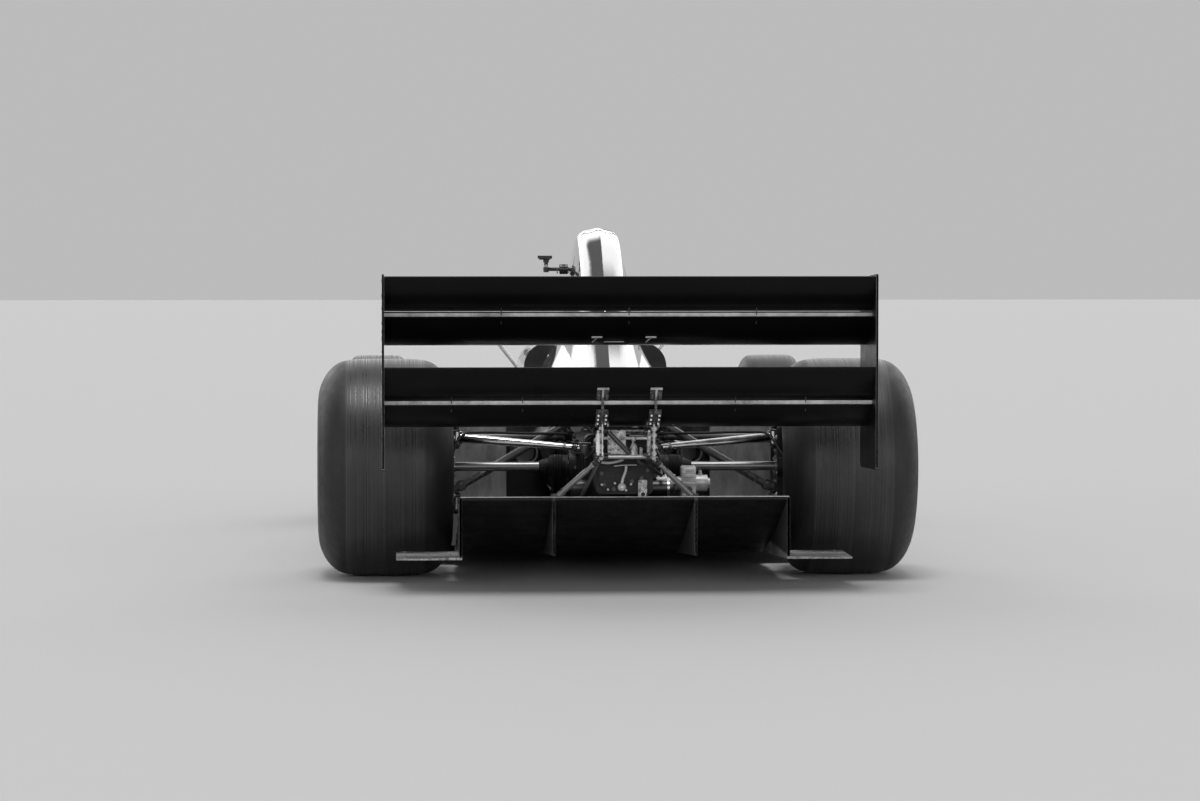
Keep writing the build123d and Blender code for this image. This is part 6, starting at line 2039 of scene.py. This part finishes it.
class AddCockpitTrim(bpy.types.Operator):
    """Add the cockpit's padded edge, the dials and switches, the wheel's buttons and the gear lever"""

    bl_idname = "car.add_cockpit_trim"
    bl_label = "Cockpit edge, dials and controls"

    def execute(self, context):
        corners = ((0.181, 1.339), (0.143, 2.081), (-0.143, 2.081), (-0.181, 1.339))
        edge = rounded([(x, s, 0.06) for x, s in corners], 6)
        path = []
        for k, here in enumerate(edge):
            there = edge[(k + 1) % len(edge)]
            steps = max(1, int((Vector(there) - Vector(here)).length / 0.05))
            for i in range(steps):
                x, s = Vector(here).lerp(Vector(there), i / steps)
                grow = 1 + 0.012 / max(abs(x), 0.1)
                ahead = 0.006 if s > 2.03 else -0.006 if s < 1.39 else 0
                z = resting(at(x * grow, s + ahead, 0.9), -Z, "tub")[0].z
                path.append(at(x, s, z - 0.002))
        drawn(
            "hoses", "cockpit_edging", "chassis", "rubber", [[*path, path[0]]],
            Radius=context.scene.car_cockpit.edging, Sides=12, Step=0.012
        )
        face = 2.1195
        shape = Shape("dark_steel")
        dials = (
            (0.0, 0.516, 0.034), (-0.066, 0.52, 0.02), (0.066, 0.52, 0.02), (-0.108, 0.514, 0.016),
            (0.108, 0.514, 0.016)
        )
        hub = ((0.0035, 0), (0.0035, 0.0028), (0.006, 0.0022), (0.006, 0))
        for x, z, radius in dials:
            centre, inner = at(x, face, z), radius - 0.004
            rim = ((-0.001, inner), (-0.001, radius), (0.008, radius), (0.0095, radius - 0.002), (0.0075, inner))
            shape.of("dark_steel").turned(centre, Y, rim, 32, True)
            plate = ((-0.001, 0), (-0.001, radius - 0.0035), (0.003, radius - 0.0035), (0.003, 0))
            shape.of("carbon_matt").turned(centre, Y, plate, 32)
            shape.of("bright_edge").turned(centre, Y, hub, 12)
            hand = X * math.cos(2.4 + x * 9) + Z * math.sin(2.4 + x * 9)
            middle = centre + Y * 0.0045 + hand * radius * 0.36
            shape.block(middle, (radius * 0.74, 0.001, 0.0018), 0.0003, hand, hand.cross(Y))
            for k in range(9):
                a = math.radians(225 - 33.75 * k)
                out = X * math.cos(a) + Z * math.sin(a)
                middle = centre + Y * 0.0033 + out * radius * 0.76
                shape.block(middle, (radius * 0.14, 0.0008, 0.0012), 0.0002, out, out.cross(Y))
        switch = ((-0.001, 0), (-0.001, 0.0062), (0.003, 0.0062), (0.004, 0.004), (0.004, 0))
        for k in range(5):
            centre = at(-0.06 + 0.03 * k, face, 0.47)
            shape.of("bolt_steel").turned(centre, Y, switch, 6)
            shape.of("arm_steel").bar(centre + Y * 0.003, centre + Y * 0.014 + Z * 0.005, 0.0016, 8, 0.0026)
        # Gear lever on the right wall
        wall, _ = resting(at(-0.08, 1.86, 0.47), -X, "tub")
        shape.of("bracket_alloy").block(wall + X * 0.006, (0.014, 0.075, 0.04), 0.003)
        pivot = wall + X * 0.02
        boss = ((0, 0), (0, 0.01), (0.014, 0.01), (0.016, 0.008), (0.016, 0))
        shape.of("bolt_steel").turned(wall + X * 0.01, X, boss, 20)
        knob = pivot + Vector((0.01, 0.02, 0.075))
        shape.of("arm_steel").bar(pivot, knob, 0.0042, 12)
        lever = (knob - pivot).normalized()
        grip = ((0, 0), (0, 0.006), (0.006, 0.01), (0.014, 0.0135), (0.022, 0.0125), (0.029, 0.008), (0.032, 0))
        shape.of("rubber").turned(knob - lever * 0.004, lever, grip, 24)
        shape.done("dash_and_lever", "chassis")
        self.add_wheel_controls()
        return {"FINISHED"}

    def add_wheel_controls(self):
        """Buttons, screws and stitching on the steering wheel, which turn with its column."""
        out = COLUMN_AXIS if COLUMN_AXIS.y > 0 else -COLUMN_AXIS
        up = out.cross(X)
        up = up if up.z > 0 else -up
        centre = COLUMN + out * 0.018
        shape = Shape("dark_steel")
        boss = (
            (-0.001, 0), (-0.001, 0.027), (0.003, 0.027), (0.005, 0.024), (0.005, 0.012), (0.002, 0.01), (0.002, 0)
        )
        shape.turned(centre, out, boss, 40)
        nut = ((0.001, 0), (0.001, 0.008), (0.007, 0.008), (0.008, 0.006), (0.008, 0))
        shape.of("bolt_steel").turned(centre, out, nut, 6)
        for sign in (-1, 1):
            for offset, lift, radius in ((0.046, 0.014, 0.0068), (0.066, 0.004, 0.0056), (0.046, -0.014, 0.0056)):
                place, wide = centre + X * sign * offset + up * lift, radius + 0.002
                collar = ((-0.001, 0), (-0.001, wide), (0.002, wide), (0.003, radius + 0.001), (0.003, 0))
                button = ((0.002, 0), (0.002, radius), (0.005, radius), (0.006, radius * 0.7), (0.006, 0))
                shape.of("dark_steel").turned(place, out, collar, 20).of("rubber").turned(place, out, button, 20)
        for k in range(6):
            a = math.pi * (k + 0.5) / 3
            radial = X * math.cos(a) + up * math.sin(a)
            place = centre + radial * 0.0185 + out * 0.0042
            hex_bolt(shape.of("bolt_steel"), place, out, 0.0026, 0.003, False)
        shape.done("wheel_controls", "steering_column")
        loop = oblong(0.0985, 0.0677, -0.0985, -0.0677, 0.04, 8)
        path = [centre + X * x + up * z for x, z in [*loop, loop[0]]]
        sizes = {"Pitch": 0.005, "Stitch": 0.0034, "Thread": 0.0007}
        drawn("stitches", "wheel_stitches", "steering_column", "edge_alloy", [path], **sizes)


class AddScreenAndMirrors(bpy.types.Operator):
    """Add the windscreen's strips and screws and the mirrors' glasses"""

    bl_idname = "car.add_screen_and_mirrors"
    bl_label = "Screen and mirrors"

    def execute(self, context):
        base, top, screws = [], [], []
        # The screen is part of a cone that narrows upwards round an upright line
        line, half_angle, steps = Vector((0, -0.58, 0)), 61.0, 24
        foot_radius, foot_z, lean = 0.2105, 0.502, 0.046 / 0.152
        top_radius, top_z, lift = 0.1615, 0.653, 0.014
        for k in range(steps + 1):
            angle = math.radians(half_angle * (2 * k / steps - 1))
            out = X * math.sin(angle) - Y * math.cos(angle)
            radius = 0.1935
            for _ in range(3):
                z = resting(line + out * radius + Z * 0.9, -Z, "tub")[0].z
                radius = foot_radius - lean * (z - foot_z)
            base.append(line + out * radius + Z * (z + 0.001))
            top.append(line + out * top_radius + Z * top_z)
            if k % 4 == 0:
                screws.append((base[-1] + Z * lift - out * (lean * lift - 0.0008), out))
        drawn("hoses", "screen_seal", "chassis", "rubber", [base], Radius=0.0042, Step=0.008)
        drawn("hoses", "screen_edge", "chassis", "edge_alloy", [top], Radius=0.003, Step=0.008)
        screwed("screen_screws", "bolt_steel", screws, "screw", 0.003)
        shape = Shape("mirror_glass")
        glass = oblong(0.399, 0.714, 0.261, 0.67, 0.012, 6)
        surround = oblong(0.404, 0.719, 0.256, 0.665, 0.015, 6)
        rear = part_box("mirrors")[1][1]
        shape.prism([Vector((x, rear - 0.0005, z)) for x, z in glass], Y * 0.0016)
        turns = ((surround, rear - 0.001), (surround, rear + 0.003), (glass, rear + 0.003), (glass, rear - 0.001))
        loops = [[Vector((x, y, z)) for x, z in loop] for loop, y in turns]
        shape.of("rubber").skin(loops, closed=True)
        shape.flipped().done("mirror_glasses", "chassis")
        return {"FINISHED"}


class AddFrontWingFittings(bpy.types.Operator):
    """Add the front wing's lips, slot straps, adjusters, screws and skid strips"""

    bl_idname = "car.add_front_wing_fittings"
    bl_label = "Front wing fittings"

    def execute(self, context):
        shape = Shape("edge_alloy")
        tail, up = on_chord("front_flap", 0.399, 0.95, 0.0), chord("front_flap")[1]
        shape.block(tail + up * 0.001, (0.546, 0.012, 0.0024), 0.0006, X, up)
        shape.of("bracket_alloy")
        for x in (0.2, 0.34, 0.48, 0.62):
            near, far = on_chord("front_main", x, 0.92, 0.002), on_chord("front_flap", x, 0.22, -0.008)
            shape.strip(near, far, 0.003, 0.02, 0.014)
        for x in (0.136, 0.404):
            low, high = on_chord("front_main", x, 0.7, 0.012), on_chord("front_flap", x, 0.62, -0.004)
            run = high - low
            shape.of("arm_steel").bar(low, high, 0.0034, 10)
            shape.of("bolt_steel").ring(low, run, run.length * 0.3, 0.002, 0.0062, run.length * 0.32, 6)
        shape.of("edge_alloy")
        inner_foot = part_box("front_endplates")[1][0]
        shape.block(Vector((inner_foot - 0.033, -1.865, 0.0535)), (0.04, 0.42, 0.004), 0.001)
        shape.flipped().done("front_wing_fittings", "chassis")
        places = end_screws("front_main", 5, 0.6802, 0.12, 0.6) + end_screws("front_flap", 4, 0.6802, 0.12, 0.9)
        places += [(at(0.0522, s, z), X) for z in (0.13, 0.155) for s in (3.26, 3.36)]
        rivets = [(at(0.705, 3.4 - 0.055 * k, 0.0612), Z) for k in range(8)]
        screwed("front_wing_screws", "bolt_steel", both(places), "screw", 0.0022)
        screwed("front_wing_rivets", "dark_steel", both(rivets), "rivet", 0.0016)
        return {"FINISHED"}


class AddFrontSuspension(bpy.types.Operator):
    """Add the front arms' joints and lugs, the pushrods' ends, the track rods' nuts and the rod holes' seals"""

    bl_idname = "car.add_front_suspension"
    bl_label = "Front suspension joints"

    def execute(self, context):
        shape = Shape("bracket_alloy")
        top, low = FRONT.z + 0.1204, FRONT.z - 0.1204
        arms = ((top, 0.428, (2.45, 2.75), 0.0085), (low, 0.15, (2.43, 2.77), 0.009))
        for outer_z, inner_z, stations, radius in arms:
            outer = at(0.644, 2.6, outer_z)
            for s in stations:
                wall, _ = resting(at(0.5, s, inner_z), -X, "tub")
                inner = at(wall.x, s, inner_z)
                run = (outer - inner).normalized()
                ball = inner + run * 0.026
                rod_end(shape, ball, run, Z, radius, 0.022)
                for way in (-1, 1):
                    shape.of("bracket_alloy").block(
                        inner + X * 0.014 + Z * way * radius * 1.9, (0.036, 0.026, 0.005), 0.0012
                    )
                shape.block(inner + X * 0.002, (0.006, 0.034, radius * 5.6), 0.001)
        knee, seat = through((0.588, 2.604, FRONT.z - 0.1184), (0.138, 2.604, 0.418))
        run = (seat - knee).normalized()
        rod_end(shape, knee + run * 0.04, run, Y, 0.0078, 0.022)
        entry, _ = resting(knee, run, "tub")
        seal = ((0, 0.01), (0, 0.017), (0.006, 0.022), (0.014, 0.022), (0.014, 0.01))
        shape.of("rubber").turned(entry - run * 0.012, run, seal, 24, True)
        rod = at(0, 2.71, 0.3145)
        hole, _ = resting(rod + X * 0.5 + Z * 0.022, -X, "tub")
        seal = ((0, 0.0215), (0, 0.027), (0.006, 0.027), (0.007, 0.025), (0.007, 0.0215))
        shape.turned(rod + X * (hole.x - 0.003), X, seal, 32, True)
        shape.flipped().done("front_arm_joints", "chassis")
        shape = Shape("bolt_steel")
        for reach in (0.59, 0.575):
            shape.ring(rod, X, reach, 0.008, 0.0135, 0.009, 6)
        shape.of("arm_steel").ring(rod, X, 0.6, 0.0085, 0.0115, 0.022, 24)
        shape.flipped().done("track_rod_nuts", "rack")
        for side, sign in SIDES:
            shape = Shape("bolt_steel")
            flip = Matrix.Scale(sign, 3, X)
            for dy, dz in ((-0.02, 0.06), (0.02, 0.06), (-0.02, -0.06), (0.02, -0.06)):
                inside = flip @ Vector((0.45, FRONT.y + dy, FRONT.z + dz))
                place, _ = resting(inside, X * sign, f"front_knuckle_{side}")
                hex_bolt(shape, place, X * -sign, 0.0055, 0.005)
            shape.done(f"knuckle_bolts_{side}", f"knuckle_{side}")
        return {"FINISHED"}


class AddCameraArmFittings(bpy.types.Operator):
    """Add the knurled knobs, clamp and screws of the bare camera arm"""

    bl_idname = "car.add_camera_arm_fittings"
    bl_label = "Camera arm knobs"

    def execute(self, context):
        station, z = 1.06, 0.905
        shape = Shape("dark_steel")
        for along in (0.094, 0.112):
            shape.ring(at(0, station, z), X, along, 0.014, 0.0165, 0.006, 32)
        knob = ((0, 0), (0, 0.0085), (0.01, 0.0095), (0.016, 0.0095), (0.018, 0.006), (0.018, 0))
        shape.of("bracket_alloy").turned(at(0.163, station, z - 0.01), Z, knob, 20)
        shape.ring(at(0.163, station, z + 0.022), Z, 0.0, 0.004, 0.0095, 0.009, 12)
        shape.block(at(0.167, station, z + 0.0325), (0.036, 0.024, 0.004), 0.001)
        shape.of("bolt_steel")
        head = ((-0.001, 0), (-0.001, 0.0042), (0.0006, 0.0042), (0.0006, 0))
        for x in (0.15, 0.184):
            shape.turned(at(x, station, 0.9488), Z, head, 10)
        hex_bolt(shape, at(0.163, station - 0.006, z + 0.01), Y, 0.004, 0.004)
        shape.bar(at(0.128, station, z), at(0.128, station - 0.02, z - 0.012), 0.0024, 8)
        shape.done("camera_arm_knobs", "chassis")
        repeated(
            "blocks", "camera_arm_knurls", "chassis", "dark_steel", [(at(0.106, station, z), X)], Count=20,
            Ring_radius=0.0152, Reach=0.002, Width=0.0018, Height=0.01
        )
        return {"FINISHED"}


class SetStage(bpy.types.Operator):
    """Lay the pale floor, set the soft panels and the broad light, and stand the camera behind the car"""

    bl_idname = "car.set_stage"
    bl_label = "Studio"

    def execute(self, context):
        scene, studio = context.scene, context.scene.car_studio
        camera = bpy.data.objects.new("camera", bpy.data.cameras.new("camera"))
        scene.collection.objects.link(camera)
        camera.data.lens, camera.data.sensor_width, camera.data.clip_end = 120.6, 36.0, 200.0
        away, left, eye_z = 11.98, 0.692, 0.98
        camera.location = at(left, -away, eye_z)
        yaw, pitch = math.radians(3.0913), math.radians(2.2)
        aim = Vector((-math.sin(yaw) * math.cos(pitch), -math.cos(yaw) * math.cos(pitch), -math.sin(pitch)))
        camera.rotation_mode = "QUATERNION"
        camera.rotation_quaternion = aim.to_track_quat("-Z", "Y")
        scene.camera = camera
        data = bpy.data.meshes.new("studio_floor")
        far = 60
        data.from_pydata([(-far, -far, 0), (far, -far, 0), (far, far, 0), (-far, far, 0)], [], [(0, 1, 2, 3)])
        floor = bpy.data.objects.new("studio_floor", data)
        scene.collection.objects.link(floor)
        f = Finish("studio_floor")
        data.materials.append(f.done(Base_Color=(*[studio.floor] * 3, 1.0), Roughness=0.9, Specular_IOR_Level=0.2))
        world = bpy.data.worlds.new("studio")
        scene.world = world
        world.use_nodes = True
        sky = Graph(world.node_tree)
        aim = sky.node("ShaderNodeTexCoord", output="Generated")
        height = sky.node("ShaderNodeSeparateXYZ", output=2, Vector=aim)
        smooth = {"interpolation_type": "SMOOTHSTEP"}
        tones = {"To_Min": studio.surround, "To_Max": studio.ceiling}
        glow = sky.node("ShaderNodeMapRange", smooth, Value=height, From_Min=0.22, From_Max=0.55, **tones)
        # A long soft panel ahead of the car and one behind it
        east = sky.node("ShaderNodeSeparateXYZ", output=0, Vector=aim)
        side = east.size()
        way = sky.node("ShaderNodeSeparateXYZ", output=1, Vector=aim)

        def fade(value, start, end):
            return sky.node("ShaderNodeMapRange", smooth, Value=value, From_Min=start, From_Max=end)

        flanks = fade(height, 0.6, 0.74) * fade(height, 0.985, 0.93)
        flanks = flanks * (fade(east, -0.08, -0.24) + fade(east, 0.22, 0.4))
        ahead = fade(way, -0.1, -0.45) * fade(side, 0.8, 0.62)
        ahead = ahead * (fade(height, 0.74, 0.6) + flanks) * studio.panels
        behind = fade(way, 0.05, 0.45) * fade(height, 0.5, 0.34) * studio.behind
        glow = glow + fade(height, 0.08, 0.14) * (ahead + behind)
        world.node_tree.nodes["Background"].inputs["Color"].default_value = (1.0, 1.0, 1.0, 1.0)
        plug(world.node_tree, world.node_tree.nodes["Background"].inputs["Strength"], glow)
        sun = bpy.data.lights.new("skylight", "SUN")
        sun.angle, sun.energy = math.radians(24.0), studio.skylight
        lamp = bpy.data.objects.new("skylight", sun)
        scene.collection.objects.link(lamp)
        lamp.rotation_euler = (math.radians(-6.0), math.radians(3.0), 0.0)
        scene.view_settings.view_transform = "Standard"
        return {"FINISHED"}


STEPS = (
    MakeFinishes,
    AddTyres,
    AddWheelFittings,
    AddDriveshaftBoots,
    AddRearLinks,
    AddUprightFittings,
    AddGearboxFittings,
    AddShiftActuator,
    AddRearWingFittings,
    AddDiffuserFittings,
    AddBodyFasteners,
    AddInletFittings,
    AddExhaustFittings,
    AddFloorFittings,
    AddCockpitPads,
    AddBelts,
    AddCockpitTrim,
    AddScreenAndMirrors,
    AddFrontWingFittings,
    AddFrontSuspension,
    AddCameraArmFittings,
    SetStage,
)
GROUPS = (
    ("car_tones", CarTones),
    ("car_fasteners", CarFasteners),
    ("car_wheels", CarWheels),
    ("car_cockpit", CarCockpit),
    ("car_studio", CarStudio),
)


class CarPanel(bpy.types.Panel):
    """The racing car's sizes and its pieces, in the order in which they are made"""

    bl_idname = "VIEW3D_PT_racing_car"
    bl_label = "Racing car"
    bl_space_type = "VIEW_3D"
    bl_region_type = "UI"
    bl_category = "Racing car"

    def draw(self, context):
        column = self.layout.column(align=True)
        for label, group in GROUPS:
            for name in group.__annotations__:
                column.prop(getattr(context.scene, label), name)
        for step in STEPS:
            column.operator(step.bl_idname)


def register():
    for label, group in GROUPS:
        bpy.utils.register_class(group)
        setattr(bpy.types.Scene, label, bpy.props.PointerProperty(type=group))
    for step in (*STEPS, CarPanel):
        bpy.utils.register_class(step)


def unregister():
    for step in (CarPanel, *reversed(STEPS)):
        bpy.utils.unregister_class(step)
    for label, group in reversed(GROUPS):
        delattr(bpy.types.Scene, label)
        bpy.utils.unregister_class(group)


def main():
    register()
    for step in STEPS:
        family, name = step.bl_idname.split(".")
        result = getattr(getattr(bpy.ops, family), name)()
        if result != {"FINISHED"}:
            raise RuntimeError(step.bl_label + " did not finish")


if __name__ == "__main__":
    main()
